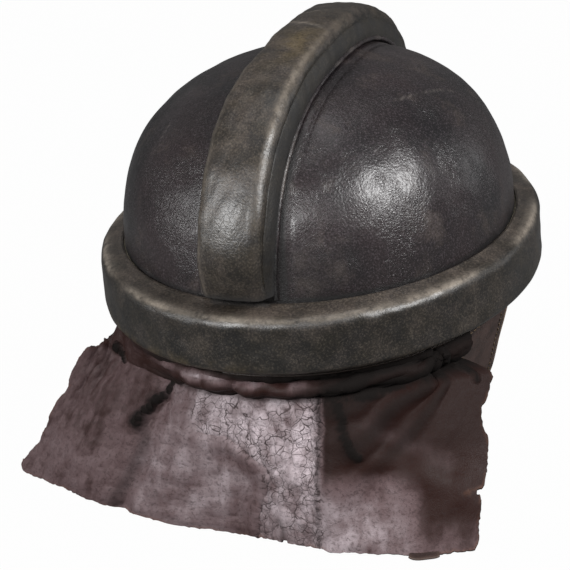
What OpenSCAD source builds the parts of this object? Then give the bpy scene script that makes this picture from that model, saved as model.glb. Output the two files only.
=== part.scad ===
// Early aviator's padded crash helmet of leather over a moulded shell.
// It stands on its neck guard at the back and on its two ear flaps.
// +Z is up, +Y points to the nape and +X to the wearer's left.
// The origin is the middle of the head opening, level with the shell's lower edge.

/* [Dome] */
// Width of the dome over its leather
dome_w = 217.8; // [210:0.1:226]
// Length of the dome over its leather
dome_l = 236; // [228:0.1:246]
// Height of the dome above its seam with the rim
dome_h = 92.8; // [84:0.1:104]
// Height of that seam above the shell's lower edge
seam_z = 32; // [28:0.5:38]
// Fullness of the dome's profile, where 2 is an ellipse
dome_power = 2.44; // [2.1:0.02:2.8]
// Wall of the moulded shell
shell_t = 9; // [7:0.5:10]
// Leather over the dome, the crest and the rim
leather_t = 1.6; // [1:0.1:2.2]
// Felt glued inside the shell
felt_t = 3; // [2:0.25:4]

/* [Crest] */
// Width across the crest's top edges
crest_top_w = 29.8; // [26:0.1:33]
// Width across the crest's foot
crest_foot_w = 35.8; // [34:0.1:42]
// Height of the crest above the dome
crest_h = 17; // [12:0.1:22]
// Extra width of the crest towards the nape, on the wearer's left
crest_swell = 4.8; // [0:0.1:6]
// Loss of height where the crest meets the rim
crest_foot_drop = 7; // [0:0.5:8]
// Radius of the crest's top edges
crest_r = 5; // [3:0.1:7]
// Thickness of the piping beside the crest
welt_d = 3; // [2:0.1:4]

/* [Rim] */
// Reach of the padded rim beyond the dome at the ears
rim_side = 13.6; // [11:0.1:18]
// Reach of the padded rim beyond the dome at brow and nape
rim_end = 20.4; // [16:0.1:26]
// Depth of the rim's outer edge below the dome's seam
rim_drop = 0.8; // [0:0.1:4]
// Rise of the rim's upper face towards the dome
ledge_rise = 1.6; // [0.8:0.1:3]
// Reach of the rim below the shell's lower edge
rim_low = 2.1; // [1.9:0.1:4]
// Radius of the rim's upper outer edge
rim_top_r = 7; // [4:0.1:10]
// Radius of the rim's lower outer edge
rim_low_r = 5; // [3:0.1:8]
// Leather strip that closes the rim underneath
binding_t = 1.2; // [0.8:0.1:2]

/* [Liner] */
// Thickness of the felt pads at the temples
side_pad_t = 12.6; // [10:0.1:16]
// Thickness of the felt pads at brow and nape
end_pad_t = 4.2; // [3:0.1:8]
// Height of the felt pads
pad_h = 34; // [24:1:40]
// Height of the sweatband
band_h = 40; // [30:1:44]
// Thickness of the sweatband
band_t = 1.8; // [1.2:0.1:2.2]
// Thickness of a liner leaf
leaf_t = 1.5; // [1:0.1:2]
// Angle left open between two leaves
leaf_gap = 13; // [12:1:20]
// Room between the leaves and the felt at the crown
crown_room = 14; // [11:0.5:20]
// Thickness of the crown lace
lace_d = 2.6; // [2:0.1:3]

/* [Neck guard] */
// Leather of the neck guard
guard_t = 2.2; // [1.6:0.1:3]
// Height of the shell's lower edge above the table
stand_h = 100; // [92:0.5:110]
// Height of the crushed roll under the rim
roll_h = 15; // [12:0.5:18]
// Depth of the crushed roll
roll_d = 12; // [9:0.5:14]
// Depth of the valley fold left of the middle
valley_depth = 6; // [3:0.5:9]
// Height of the ridge fold right of the middle
ridge_height = 3; // [1:0.5:4]
// Bulge of the whole guard half way down
bulge = 2; // [0:0.5:4]
// Length of the strap end that shows beyond the hem
tab_out = 8; // [5:0.5:16]

/* [Ear flaps] */
// Leather of an ear flap
flap_t = 2.2; // [1.6:0.1:3]
// Inward lean of a hanging ear flap
flap_tilt = 23; // [18:0.5:26]
// Turn of a flap's seam to follow the rim
flap_yaw = 11; // [7:0.5:13]
// Width of a flap along its seam
flap_w = 50; // [44:1:52]

/* [Straps] */
// Width of the chin strap
strap_w = 17; // [14:0.5:19]
// Thickness of the chin strap
strap_t = 2; // [1.6:0.1:2.4]
// Reach of the chin strap beyond its rivet
chin_l = 96; // [80:1:98]
// Reach of the buckle strap from its rivet to the buckle's bar
buckle_l = 76; // [74:1:80]
// Distance between the strap's holes
hole_pitch = 13; // [10:0.5:15]
// Diameter of the strap's holes
hole_d = 3; // [2.4:0.1:4]
// Diameter of a rivet's shank
rivet_d = 4; // [3:0.1:5]
// Diameter of a rivet's head
rivet_head_d = 9; // [7:0.1:11]
// Wire of the buckle's bar
bar_d = 2.5; // [2:0.1:3]
// Length of the buckle frame along the strap
frame_l = 19; // [16:0.5:21]

/* [Hidden] */

$fn = 72;
seat = 0.3;              // gap between pieces that lie on each other
skin = 0.15;             // gap between a cover and what fills it
run = 0.07;              // radial clearance of a pin or bar in its bore
hull_fn = 32;

black_leather = [0.17, 0.16, 0.16];
olive_leather = [0.25, 0.23, 0.20];
brown_leather = [0.33, 0.27, 0.27];
tan_leather = [0.45, 0.32, 0.22];
pale_felt = [0.72, 0.68, 0.58];
grey_felt = [0.50, 0.48, 0.44];
fibre = [0.40, 0.30, 0.20];
steel = [0.48, 0.46, 0.43];
cotton = [0.76, 0.70, 0.60];

dome_r = dome_w / 2;
dome_k = dome_l / dome_w;
dome_steps = 16;
shell_out = leather_t + skin;
shell_in = shell_out + shell_t;
felt_out = shell_in + skin;
felt_in = felt_out + felt_t;

rim_w = dome_w + 2 * rim_side;
rim_l = dome_l + 2 * rim_end;
rim_top = seam_z - rim_drop;
ledge_top = seam_z + ledge_rise;
rim_angles = [0:360 / 64:359];
corner_steps = 4;
binding_in = 8;          // reach of the binding inside the dome's outline
rim_in = 5;              // reach of the rim's leather inside that outline
under_z = -rim_low - skin - binding_t;

band_low = 2;
band_top = band_low + band_h;
lining_r = dome_r - felt_in;
band_r = lining_r - 2 * seat - side_pad_t;
head_k = (lining_r * dome_k - 2 * seat - end_pad_t) / band_r;
leaf_base = band_top + seat;
leaf_top = seam_z + dome_h - felt_in - crown_room;
leaf_count = 6;
leaf_arc = 360 / leaf_count - leaf_gap;
leaf_steps = 10;
leaf_end = 74;           // angle up the leaf's curve at which it ends
lace_bore = lace_d / 2 + run;
pad_low = 4;
crown_pad_r = 30;
crown_pad_h = 8;
knot_r = 0.85 * lace_d;
end_spread = 38;         // half the angle that a pad at brow or nape takes
side_spread = 44;        // and one at a temple

floor_z = -stand_h;
roll_top = under_z - seat;
roll_start = 28;
roll_end = 149;
roll_steps = 28;
roll_in = roll_d - 1;    // depth of the roll's middle inside the rim's outline
guard_top = roll_top - roll_h - seat;
guard_side_drop = 0.07 * stand_h;   // extra clearance under the roll at the guard's ends
torn_rise = 0.11 * stand_h;   // rise of the free corner at the wearer's left
spans = 8;
columns = 40;
rows = 8;
column_step = spans / columns;

// Outer face of the guard in plan at its top, from the wearer's left to right,
// in halves of the rim's width and length
TOP = [[0.882, 0.645], [0.776, 0.636], [0.596, 0.730],
       [0.335, 0.860], [0.082, 0.910], [-0.163, 0.903],
       [-0.433, 0.838], [-0.718, 0.672], [-0.931, 0.477]];
// Outer face of the guard in plan at its hem, at the same steps
HEM = [[1.298, 0.643], [1.094, 0.742], [0.865, 0.832],
       [0.531, 0.925], [0.122, 0.968], [-0.163, 1.004],
       [-0.465, 1.026], [-0.776, 0.997], [-1.004, 0.910]];
valley_at = 2.65;
ridge_at = 5.75;
left_bulge = 2 * bulge;
dent = 1.25 * bulge;     // depth of the slanting fold on the wearer's right
tab_at = 7.08;           // place of the strap end along the hem, in steps
tab_half = 0.23;
strip_top = 0.5;         // height at which the strap is sewn to the guard
strip_t = 1.8;

bead_r = 1.6;
seam_in = 16.5;          // place of a flap's seam inside the rim's outer edge
hinge_x = rim_w / 2 - seam_in;
hinge_y = 0.52 * flap_w;
hinge_z = under_z - seat - bead_r;
flap_front = -0.44 * flap_w;
flap_l = (stand_h + hinge_z) / cos(flap_tilt) - flap_t / 2 * tan(flap_tilt);
flap_corner = 0.18 * flap_w;
flap_foot_front = -0.92 * flap_w;
flap_foot_w = 1.04 * flap_w;
rivet_y = -0.68 * flap_w;
rivet_up = 0.22 * stand_h;   // height of the strap's rivet above the flap's foot
rivet_z = rivet_up - flap_l;
rivet_head_t = 1.5;
strap_droop = 4;
strap_x = -(flap_t / 2 + seat + strap_t / 2);
strap_tail = 9;
keeper_w = 8;
keeper_t = 1.4;
keeper_at = 56;
loop_wall = 1.6;
loop_r = bar_d / 2 + run + loop_wall;
slot_l = 7;
prong_w = 4;
arm_d = bar_d + 0.3;
arm_z = strap_w / 2 + 0.6 + arm_d / 2;
eye_r = bar_d / 2 + run + 1.7;
prong_d = 2;
prong_x = -(arm_d / 2 + 0.2 + prong_d / 2);

function bell(v, wide) = exp(-v * v / (wide * wide));
function spow(v, p) = v <= 0 ? 0 : pow(v, p);
function unit2(v) = v / norm(v);
function sum_pts(a, b, k) = a * (1 - k) + b * k;
function backwards(P) = [for (i = [len(P) - 1:-1:0]) P[i]];

// Point of the dome's profile at angle t above the seam, moved inwards
function dome_pt(t, inset) = [
    (dome_r - inset) * spow(cos(t), 2 / dome_power),
    seam_z + (dome_h - inset) * spow(sin(t), 2 / dome_power)];

// Outline in plan of an ellipse, moved outwards by d along its normal
function ellipse_at(a, half_w, half_l, d, z) = let (
    n = unit2([cos(a) / half_w, sin(a) / half_l]))
    [half_w * cos(a) + n.x * d, half_l * sin(a) + n.y * d, z];
function rim_at(a, d, z) = ellipse_at(a, rim_w / 2, rim_l / 2, -d, z);
function dome_at(a, d, z) = ellipse_at(a, dome_r, dome_r * dome_k, d, z);
function lining_at(a, d, z) = ellipse_at(a, lining_r, lining_r * dome_k, d, z);
function band_at(a, d, z) = ellipse_at(a, band_r, band_r * head_k, d, z);

// Catmull and Rom's curve through the points, s counted in points
function through(P, s) = let (
    i = min(floor(s), len(P) - 2),
    t = s - i,
    b = P[i],
    c = P[i + 1],
    a = i == 0 ? 2 * b - c : P[i - 1],
    d = i == len(P) - 2 ? 2 * c - b : P[i + 2])
    0.5 * (2 * b + (c - a) * t + (2 * a - 5 * b + 4 * c - d) * t * t
        + (3 * b - a - 3 * c + d) * t * t * t);

// Solid between rings of points, closed to a loop or capped at both ends.
// A sheet's ring runs down one face and back up the other, so its caps are strips.
module loft(rings, closed = false, sheet = false) {
    n = len(rings[0]);
    m = len(rings);
    last = closed ? m - 1 : m - 2;
    sides = [for (i = [0:last]) for (j = [0:n - 1])
        let (k = (i + 1) % m, l = (j + 1) % n)
        each [[i * n + j, k * n + l, i * n + l],
              [i * n + j, k * n + j, k * n + l]]];
    cap = sheet ? [for (j = [0:n / 2 - 2])
        each [[j, j + 1, n - 2 - j], [j, n - 2 - j, n - 1 - j]]] : [[for (j = [0:n - 1]) j]];
    caps = closed ? [] : concat(cap, [for (f = cap) [for (v = backwards(f)) (m - 1) * n + v]]);
    polyhedron([for (r = rings) each r], concat(sides, caps), convexity = 10);
}

// Half of a bowl between two insets of the dome's profile, towards +X or -X
module half_bowl(outer, inner, low, side) {
    outline = concat(
        [[dome_r - outer, low]],
        [for (i = [0:dome_steps]) dome_pt(90 * i / dome_steps, outer)],
        [for (i = [dome_steps:-1:0]) dome_pt(90 * i / dome_steps, inner)],
        [[dome_r - inner, low]]);
    scale([1, dome_k, 1])
        rotate([0, 0, -90 * side])
            rotate_extrude(angle = 180)
                polygon(outline);
}

module bowl(outer, inner, low) {
    half_bowl(outer, inner, low, 1);
    half_bowl(outer, inner, low, -1);
}

module shell() {
    color(fibre) bowl(shell_out, shell_in, 0);
}

// The dome's leather is cut in two, with its seam under the crest
module dome_cover(side) {
    color(black_leather)
        translate([side * skin / 2, 0, 0])
            half_bowl(0, leather_t, band_low, side);
}

// Crest

crest_steps = 40;
crest_start = asin(pow((ledge_rise + seat) / dome_h, dome_power / 2));

// Point of the line over the dome from nape to brow, and its outward normal
function ridge_pt(t) = let (
    s = t < 90 ? 1 : -1,
    p = dome_pt(t < 90 ? t : 180 - t, 0))
    [s * p.x * dome_k, p.y];
function ridge_normal(t) = let (
    e = min(0.5, t, 180 - t),
    d = unit2(ridge_pt(t + e) - ridge_pt(t - e)))
    [d.y, -d.x];
function on_ridge(t, x, h) = let (p = ridge_pt(t), n = ridge_normal(t))
    [x, p.x + n.x * h, p.y + n.y * h];

// Depth of the dome's surface at x beside that line, measured along its normal
function dome_sag(t, x) = let (
    p = dome_pt(min(t, 180 - t), 0),
    z = p.y - seam_z,
    r = norm([p.x, x]),
    g = pow(r / dome_r, dome_power) + pow(z / dome_h, dome_power) - 1,
    gy = pow(r / dome_r, dome_power - 1) / dome_r * p.x / (dome_k * r),
    gz = pow(z / dome_h, dome_power - 1) / dome_h)
    x == 0 ? 0 : g / (dome_power * norm([gy, gz]));

// Half outline of the crest's section from its foot to the middle of its top.
// A third value of 1 marks a point whose height is counted from the dome beside the line.
function crest_half(foot, top, high, r) = concat(
    [[foot, seat, 1]],
    [for (i = [0:corner_steps]) let (a = 90 * i / corner_steps)
        [top - r + r * cos(a), high - r + r * sin(a), 0]],
    [[0, high + 0.5, 0]]);
function flip(P) = [for (i = [len(P) - 2:-1:0]) [-P[i].x, P[i].y, P[i].z]];
function crest_line(inset) = let (
    h = crest_half(crest_foot_w / 2 - inset, crest_top_w / 2 - inset,
        crest_h - inset, crest_r - min(inset, crest_r - 1)))
    concat(h, flip(h));
// The crest is flatter where it meets the rim at either end
function crest_share(t) = 1 - crest_foot_drop / crest_h * bell(min(t, 180 - t), 9);
function crest_x(t, x) = x <= 0 || t > 85 ? x
    : x + crest_swell * (t < 50 ? 1 : 0.5 + 0.5 * cos(180 * (t - 50) / 35));

module along_crest(section, sheet = false) {
    loft(sheet = sheet, rings = [for (i = [0:crest_steps])
        let (t = crest_start + (180 - 2 * crest_start) * i / crest_steps)
        [for (p = section) let (x = crest_x(t, p.x))
            on_ridge(t, x, p.z == 1 ? p.y - dome_sag(t, x) : p.y * crest_share(t))]]);
}

module crest_core() {
    half = crest_foot_w / 4;
    color(grey_felt) along_crest(concat(crest_line(leather_t + skin),
        [[-half, seat, 1], [0, seat, 1], [half, seat, 1]]));
}

module crest_cover() {
    color(olive_leather)
        along_crest(concat(crest_line(0), backwards(crest_line(leather_t))), sheet = true);
}

module crest_welt(side) {
    r = welt_d / 2;
    x = crest_foot_w / 2 + seat + r;
    color(black_leather)
        along_crest([for (j = [0:7])
            [side * x - r * cos(45 * j), seat + r + r * sin(45 * j), 1]]);
}

// Rim

// Outer half of the rim's section, from the dome over the edge to the underside
function rim_line(a, inset, in_top, in_low) = concat(
    [dome_at(a, in_top, ledge_top - inset)],
    [for (i = [0:corner_steps])
        let (k = 90 * i / corner_steps, r = max(rim_top_r - inset, 1))
        rim_at(a, inset + r - r * sin(k), rim_top - inset - r + r * cos(k))],
    [for (i = [0:corner_steps])
        let (k = 90 * i / corner_steps, r = max(rim_low_r - inset, 1))
        rim_at(a, inset + r - r * cos(k), inset + r - r * sin(k) - rim_low)],
    [dome_at(a, in_low, inset - rim_low)]);

module rim_core() {
    color(grey_felt) loft(closed = true, rings = [for (a = rim_angles)
        rim_line(a, leather_t + skin, seat, seat)]);
}

module rim_cover() {
    color(olive_leather) loft(closed = true, rings = [for (a = rim_angles)
        concat(rim_line(a, 0, seat, -rim_in),
            backwards(rim_line(a, leather_t, seat, -rim_in)))]);
}

module rim_binding() {
    top = -rim_low - skin;
    color(tan_leather) loft(closed = true, rings = [for (a = rim_angles)
        [rim_at(a, rim_low_r - 1, top), rim_at(a, rim_low_r - 1, top - binding_t),
         dome_at(a, -binding_in, top - binding_t), dome_at(a, -binding_in, top)]]);
}

// Liner

module felt_lining() {
    color(pale_felt) bowl(felt_out, felt_in, band_low);
}

module crown_pad() {
    top = seam_z + (dome_h - felt_in)
        * pow(1 - pow(crown_pad_r / lining_r, dome_power), 1 / dome_power) - seat;
    color(grey_felt)
        translate([0, 0, top - crown_pad_h])
            cylinder(r = crown_pad_r, h = crown_pad_h);
}

// Felt pad that fills the room between the lining and the sweatband
module head_pad(middle, spread) {
    pad_steps = 12;
    edge = 2;
    top = pad_low + pad_h;
    color(grey_felt) loft([for (i = [0:pad_steps])
        let (a = middle - spread + 2 * spread * i / pad_steps,
            inner = band_at(a, seat, 0),
            outer = lining_at(a, -seat, 0),
            skew = min(edge, norm(outer - inner) / 4) * unit2(outer - inner))
        [inner + [0, 0, pad_low + edge], inner + skew + [0, 0, pad_low],
         outer - skew + [0, 0, pad_low], outer + [0, 0, pad_low + edge],
         outer + [0, 0, top - edge], outer - skew + [0, 0, top],
         inner + skew + [0, 0, top], inner + [0, 0, top - edge]]]);
}

module sweatband() {
    color(tan_leather)
        translate([0, 0, band_low])
            for (half = [0, 180])
                scale([1, head_k, 1])
                    rotate([0, 0, half])
                        rotate_extrude(angle = 180)
                            translate([band_r - band_t, 0])
                                square([band_t, band_h]);
}

function leaf_pt(t, inset) = [
    (band_r - inset) * spow(cos(t), 2 / dome_power),
    leaf_base + (leaf_top - leaf_base - inset) * spow(sin(t), 2 / dome_power)];
lace_at = leaf_pt(leaf_end, leaf_t / 2);

// One gore of the liner, whose tip is turned over the crown lace
module liner_leaf(number) {
    lines = [for (i = [0:leaf_steps]) leaf_end * i / leaf_steps];
    color(tan_leather)
        scale([1, head_k, 1])
            rotate([0, 0, 360 / leaf_count * (number - 1) + leaf_gap / 2])
                rotate_extrude(angle = leaf_arc)
                    difference() {
                        union() {
                            polygon(concat(
                                [for (t = lines) leaf_pt(t, 0)],
                                [for (t = backwards(lines)) leaf_pt(t, leaf_t)]));
                            translate(lace_at)
                                circle(r = lace_bore + leaf_t, $fn = 40);
                        }
                        translate(lace_at)
                            circle(r = lace_bore, $fn = 40);
                    }
}

module crown_lace() {
    color(cotton) {
        for (half = [0, 180])
            scale([1, head_k, 1])
                rotate([0, 0, half])
                    rotate_extrude(angle = 180)
                        translate(lace_at)
                            circle(d = lace_d, $fn = 40);
        translate([lace_at.x, 0, lace_at.y])
            sphere(r = knot_r, $fn = 40);
    }
}

// Neck guard

// The leather's own roll, squeezed out under the rim at the back
module neck_guard_roll() {
    color(brown_leather) loft([for (i = [0:roll_steps])
        let (a = roll_start + (roll_end - roll_start) * i / roll_steps,
            f = 0.45 + 0.55 * pow(sin(180 * i / roll_steps), 0.4))
        [for (j = [0:9])
            rim_at(a, roll_in - f * roll_d / 2 * cos(36 * j),
                roll_top - roll_h / 2 * (1 - f * sin(36 * j)))]]);
}

// How far the folds move the leather outwards
function fold(s, v) =
    -valley_depth * bell(s - valley_at + 0.3 * (v - 0.5), 0.22) * (1 - 0.5 * v)
    + ridge_height * bell(s - ridge_at, 0.16)
    + (bulge + left_bulge * bell(s - 1.3, 0.7) - dent * bell(s - 6.9 + v, 0.35))
        * sin(180 * v);

// The top edge drops under the roll's ends, and rises where the left corner is torn free
function guard_z(s, v) = let (
    side = (s - spans / 2) / spans * 2,
    torn = torn_rise * max(0, 1 - s),
    low = floor_z + (abs(s - tab_at) < tab_half + column_step / 2 ? strip_t + seat : 0))
    (guard_top - guard_side_drop * side * side + torn) * (1 - v) + low * v;
function guard_plan(s, v) = let (p = sum_pts(through(TOP, s), through(HEM, s), v))
    [p.x * rim_w / 2, p.y * rim_l / 2];
function guard_normal(s, v) = let (
    e = 0.05,
    d = unit2(guard_plan(min(s + e, spans), v) - guard_plan(max(s - e, 0), v)))
    [d.y, -d.x];
function guard_pt(s, v, inset) = let (
    p = guard_plan(s, v) + guard_normal(s, v) * (fold(s, v) - inset))
    [p.x, p.y, guard_z(s, v)];

module neck_guard() {
    color(brown_leather) loft(sheet = true, rings = [for (i = [0:columns])
        let (s = i * column_step)
        concat(
            [for (j = [0:rows]) guard_pt(s, j / rows, 0)],
            [for (j = [rows:-1:0]) guard_pt(s, j / rows, guard_t)])]);
}

// Point of the guard between its columns, moved to height z where one is given
function on_guard(s, v, inset, z) = let (
    i = floor(s / column_step),
    a = guard_pt(i * column_step, v, inset),
    b = guard_pt((i + 1) * column_step, v, inset),
    p = sum_pts(a, b, s / column_step - i))
    [p.x, p.y, is_undef(z) ? p.z : z];

// Strap sewn inside the guard, with its end under the hem and beyond it
module nape_strap() {
    gap = guard_t + seat;
    first = tab_at - tab_half;
    last = tab_at + tab_half;
    lines = concat([first],
        [for (i = [ceil(first / column_step):floor(last / column_step)]) i * column_step],
        [last]);
    heights = [for (j = [rows * strip_top:rows - 1]) j / rows];
    color(brown_leather) loft(sheet = true, rings = [for (s = lines)
        let (tip = tab_out * (pow((s - tab_at) / tab_half, 2) / 3 - 1))
        concat(
            [for (v = heights) on_guard(s, v, gap + strip_t)],
            [on_guard(s, 1, gap + strip_t, floor_z), on_guard(s, 1, tip, floor_z),
             on_guard(s, 1, tip, floor_z + strip_t), on_guard(s, 1, gap, floor_z + strip_t)],
            [for (v = backwards(heights)) on_guard(s, v, gap)])]);
}

// Ear flaps and straps, drawn for the wearer's left in the flap's own frame:
// the seam runs along Y, the flap hangs along -Z and its inner face looks to -X.

module on_flap(side) {
    mirror([side < 0 ? 1 : 0, 0, 0])
        translate([hinge_x, hinge_y, hinge_z])
            rotate([0, 0, flap_yaw])
                rotate([0, flap_tilt, 0])
                    children();
}

module on_strap() {
    translate([strap_x, rivet_y, rivet_z])
        rotate([-strap_droop, 0, 0])
            children();
}

// Plate of thickness t centred on the plane of the flap
module plate(t) {
    translate([-t / 2, 0, 0])
        rotate([90, 0, 90])
            linear_extrude(t)
                children();
}

module ear_flap(side) {
    color(brown_leather) on_flap(side) difference() {
        union() {
            plate(flap_t) hull() {
                translate([flap_front, -bead_r]) square([flap_w, bead_r]);
                translate([flap_foot_front + flap_corner, flap_corner - flap_l])
                    circle(r = flap_corner, $fn = hull_fn);
                translate([flap_foot_front + flap_foot_w - flap_corner, flap_corner - flap_l])
                    circle(r = flap_corner, $fn = hull_fn);
            }
            translate([0, flap_front, 0])
                rotate([-90, 0, 0])
                    cylinder(r = bead_r, h = flap_w);
        }
        translate([0, rivet_y, rivet_z])
            rotate([0, 90, 0])
                cylinder(d = rivet_d + 2 * run, h = 4 * flap_t, center = true);
    }
}

module strap_rivet(side) {
    stack = flap_t / 2 + seat + strap_t;
    color(steel) on_flap(side) translate([0, rivet_y, rivet_z]) rotate([0, -90, 0]) {
        translate([0, 0, -flap_t / 2 - rivet_head_t - skin])
            cylinder(d = rivet_head_d, h = rivet_head_t);
        translate([0, 0, -flap_t / 2 - rivet_head_t])
            cylinder(d = rivet_d, h = stack + flap_t / 2 + 1.5 * rivet_head_t + seat);
        translate([0, 0, stack + seat])
            cylinder(d = rivet_head_d, h = rivet_head_t);
    }
}

module rivet_bore() {
    rotate([0, 90, 0])
        cylinder(d = rivet_d + 2 * run, h = 4 * strap_t, center = true);
}

module chin_strap() {
    hole_count = 5;
    tip = 7;
    color(brown_leather) on_flap(-1) on_strap() difference() {
        plate(strap_t) hull() {
            translate([tip - strap_tail, 0]) square([tip, strap_w], center = true);
            translate([chin_l - strap_w / 2, 0]) circle(d = strap_w, $fn = hull_fn);
        }
        rivet_bore();
        for (i = [0:hole_count - 1])
            translate([0, chin_l - strap_w - i * hole_pitch, 0])
                rotate([0, 90, 0])
                    cylinder(d = hole_d, h = 4 * strap_t, center = true);
    }
}

module buckle_strap() {
    color(brown_leather) on_flap(1) on_strap() difference() {
        union() {
            translate([0, (buckle_l - strap_tail) / 2, 0])
                cube([strap_t, buckle_l + strap_tail, strap_w], center = true);
            translate([0, buckle_l, 0])
                cylinder(r = loop_r, h = strap_w, center = true);
        }
        rivet_bore();
        translate([0, buckle_l, 0])
            cylinder(r = bar_d / 2 + run, h = 2 * strap_w, center = true);
        translate([0, buckle_l + loop_r - slot_l / 2, 0])
            cube([4 * loop_r, slot_l + loop_r, prong_w + 0.8], center = true);
    }
}

module strap_keeper() {
    clear = 0.35;
    color(brown_leather) on_flap(1) on_strap() translate([0, keeper_at, 0]) difference() {
        cube([strap_t + 2 * clear + 2 * keeper_t, keeper_w,
            strap_w + 2 * clear + 2 * keeper_t], center = true);
        cube([strap_t + 2 * clear, 2 * keeper_w, strap_w + 2 * clear], center = true);
    }
}

module at_bar() {
    on_flap(1) on_strap() translate([0, buckle_l, 0]) children();
}

module buckle_frame() {
    color(steel) at_bar() {
        cylinder(d = bar_d, h = 2 * arm_z, center = true);
        translate([0, frame_l, 0])
            cylinder(d = arm_d, h = 2 * arm_z, center = true);
        for (end = [-1, 1]) translate([0, 0, end * arm_z]) {
            rotate([-90, 0, 0])
                cylinder(d = arm_d, h = frame_l);
            sphere(d = arm_d, $fn = 40);
            translate([0, frame_l, 0])
                sphere(d = arm_d, $fn = 40);
        }
    }
}

module buckle_prong() {
    color(steel) at_bar() difference() {
        union() {
            cylinder(r = eye_r, h = prong_w, center = true);
            translate([prong_x, 0, 0])
                rotate([-90, 0, 0])
                    cylinder(d = prong_d, h = frame_l + arm_d / 2 + 1);
        }
        cylinder(r = bar_d / 2 + run, h = 2 * prong_w, center = true);
    }
}

shell();
dome_cover(1);  // dome_cover_left
dome_cover(-1);  // dome_cover_right
crest_core();
crest_cover();
crest_welt(1);  // crest_welt_left
crest_welt(-1);  // crest_welt_right
rim_core();
rim_cover();
rim_binding();
felt_lining();
crown_pad();
head_pad(-90, end_spread);  // brow_pad
head_pad(90, end_spread);  // nape_pad
head_pad(0, side_spread);  // temple_pad_left
head_pad(180, side_spread);  // temple_pad_right
sweatband();
liner_leaf(1);  // liner_leaf_1
liner_leaf(2);  // liner_leaf_2
liner_leaf(3);  // liner_leaf_3
liner_leaf(4);  // liner_leaf_4
liner_leaf(5);  // liner_leaf_5
liner_leaf(6);  // liner_leaf_6
crown_lace();
neck_guard_roll();
neck_guard();
nape_strap();
ear_flap(1);  // ear_flap_left
ear_flap(-1);  // ear_flap_right
strap_rivet(1);  // strap_rivet_left
strap_rivet(-1);  // strap_rivet_right
chin_strap();
buckle_strap();
strap_keeper();
buckle_frame();
buckle_prong();
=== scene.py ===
import bpy
import numpy as np
from mathutils import Matrix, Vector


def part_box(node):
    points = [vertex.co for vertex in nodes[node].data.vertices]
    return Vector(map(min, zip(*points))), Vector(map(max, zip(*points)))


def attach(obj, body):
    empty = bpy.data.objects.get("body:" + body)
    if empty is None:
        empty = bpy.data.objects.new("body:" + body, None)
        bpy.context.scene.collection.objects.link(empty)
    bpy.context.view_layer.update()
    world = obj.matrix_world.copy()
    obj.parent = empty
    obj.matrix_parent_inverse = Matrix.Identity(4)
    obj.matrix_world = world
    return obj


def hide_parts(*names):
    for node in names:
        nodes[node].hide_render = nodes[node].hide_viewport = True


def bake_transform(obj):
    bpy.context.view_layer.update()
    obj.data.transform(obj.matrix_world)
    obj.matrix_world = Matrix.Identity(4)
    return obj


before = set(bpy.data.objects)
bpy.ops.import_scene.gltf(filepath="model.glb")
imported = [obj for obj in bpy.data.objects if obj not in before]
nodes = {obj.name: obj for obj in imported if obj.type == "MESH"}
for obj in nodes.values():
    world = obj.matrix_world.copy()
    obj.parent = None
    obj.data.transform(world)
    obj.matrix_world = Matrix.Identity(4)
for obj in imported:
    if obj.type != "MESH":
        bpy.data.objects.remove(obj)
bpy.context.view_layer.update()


# The room. Six square lamps stand round the helmet: the key lamp makes the highlight on the dome's
# right half and the crest lamp the one on its left. The hem stands on a white sheet of paper.

def turned(values):
    """Unit vector along the values."""
    values = np.array(values, float)
    return values / np.linalg.norm(values)


def put(name, data, axes, place):
    """Object at that place, in metres, with its X, Y and Z along the axes."""
    made = bpy.data.objects.new(name, data)
    made.matrix_world = Matrix([[*row, at] for row, at in zip(np.column_stack(axes), place)]
                               + [[0, 0, 0, 1]])
    bpy.context.collection.objects.link(made)
    return made


focus = 3091.8  # pixels, in a picture as wide as the next number
picture = 570
view_from = np.array([-0.59499, 1.49305, 0.70494])
azimuth, elevation, roll = np.radians([202.555, 23.933, -5.390])
back = turned([np.sin(azimuth) * np.cos(elevation), -np.cos(azimuth) * np.cos(elevation),
               np.sin(elevation)])
level = np.array([np.cos(azimuth), np.sin(azimuth), 0])
upright = np.cross(back, level)
camera_data = bpy.data.cameras.new("camera")
camera_data.sensor_width = 36
camera_data.lens = focus * camera_data.sensor_width / picture
camera_data.clip_end = 100
bpy.context.scene.camera = put(
    "camera", camera_data, [level * np.cos(roll) + upright * np.sin(roll),
                            upright * np.cos(roll) - level * np.sin(roll), back], view_from)
bpy.context.scene.view_settings.view_transform = "Standard"


def lamp(name, direction, distance, size, power, target=(0, 0, 0.03)):
    """Square lamp in the given direction from the target, which it faces: metres and watts."""
    data = bpy.data.lights.new(name, "AREA")
    data.shape = "SQUARE"
    data.size = size
    data.energy = power
    axis = turned(direction)
    side = turned(np.cross([0, 0, 1], axis))
    put(name, data, [side, np.cross(axis, side), axis], np.array(target) + axis * distance)


lamp("key_lamp", (-0.79, 0.20, 0.58), 1.7, 0.62, 38)
lamp("front_lamp", (-0.19, 0.82, 0.54), 2.0, 0.55, 10)
lamp("crest_lamp", (0.35, 0.82, 0.46), 2.0, 0.55, 36)
lamp("shoulder_lamp", (-0.76, -0.62, 0.16), 2.4, 0.9, 4.5)
lamp("left_lamp", (0.84, 0.50, 0.25), 2.2, 0.6, 10)
lamp("top_lamp", (0.1, -0.15, 1.0), 2.0, 1.2, 7)


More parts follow.
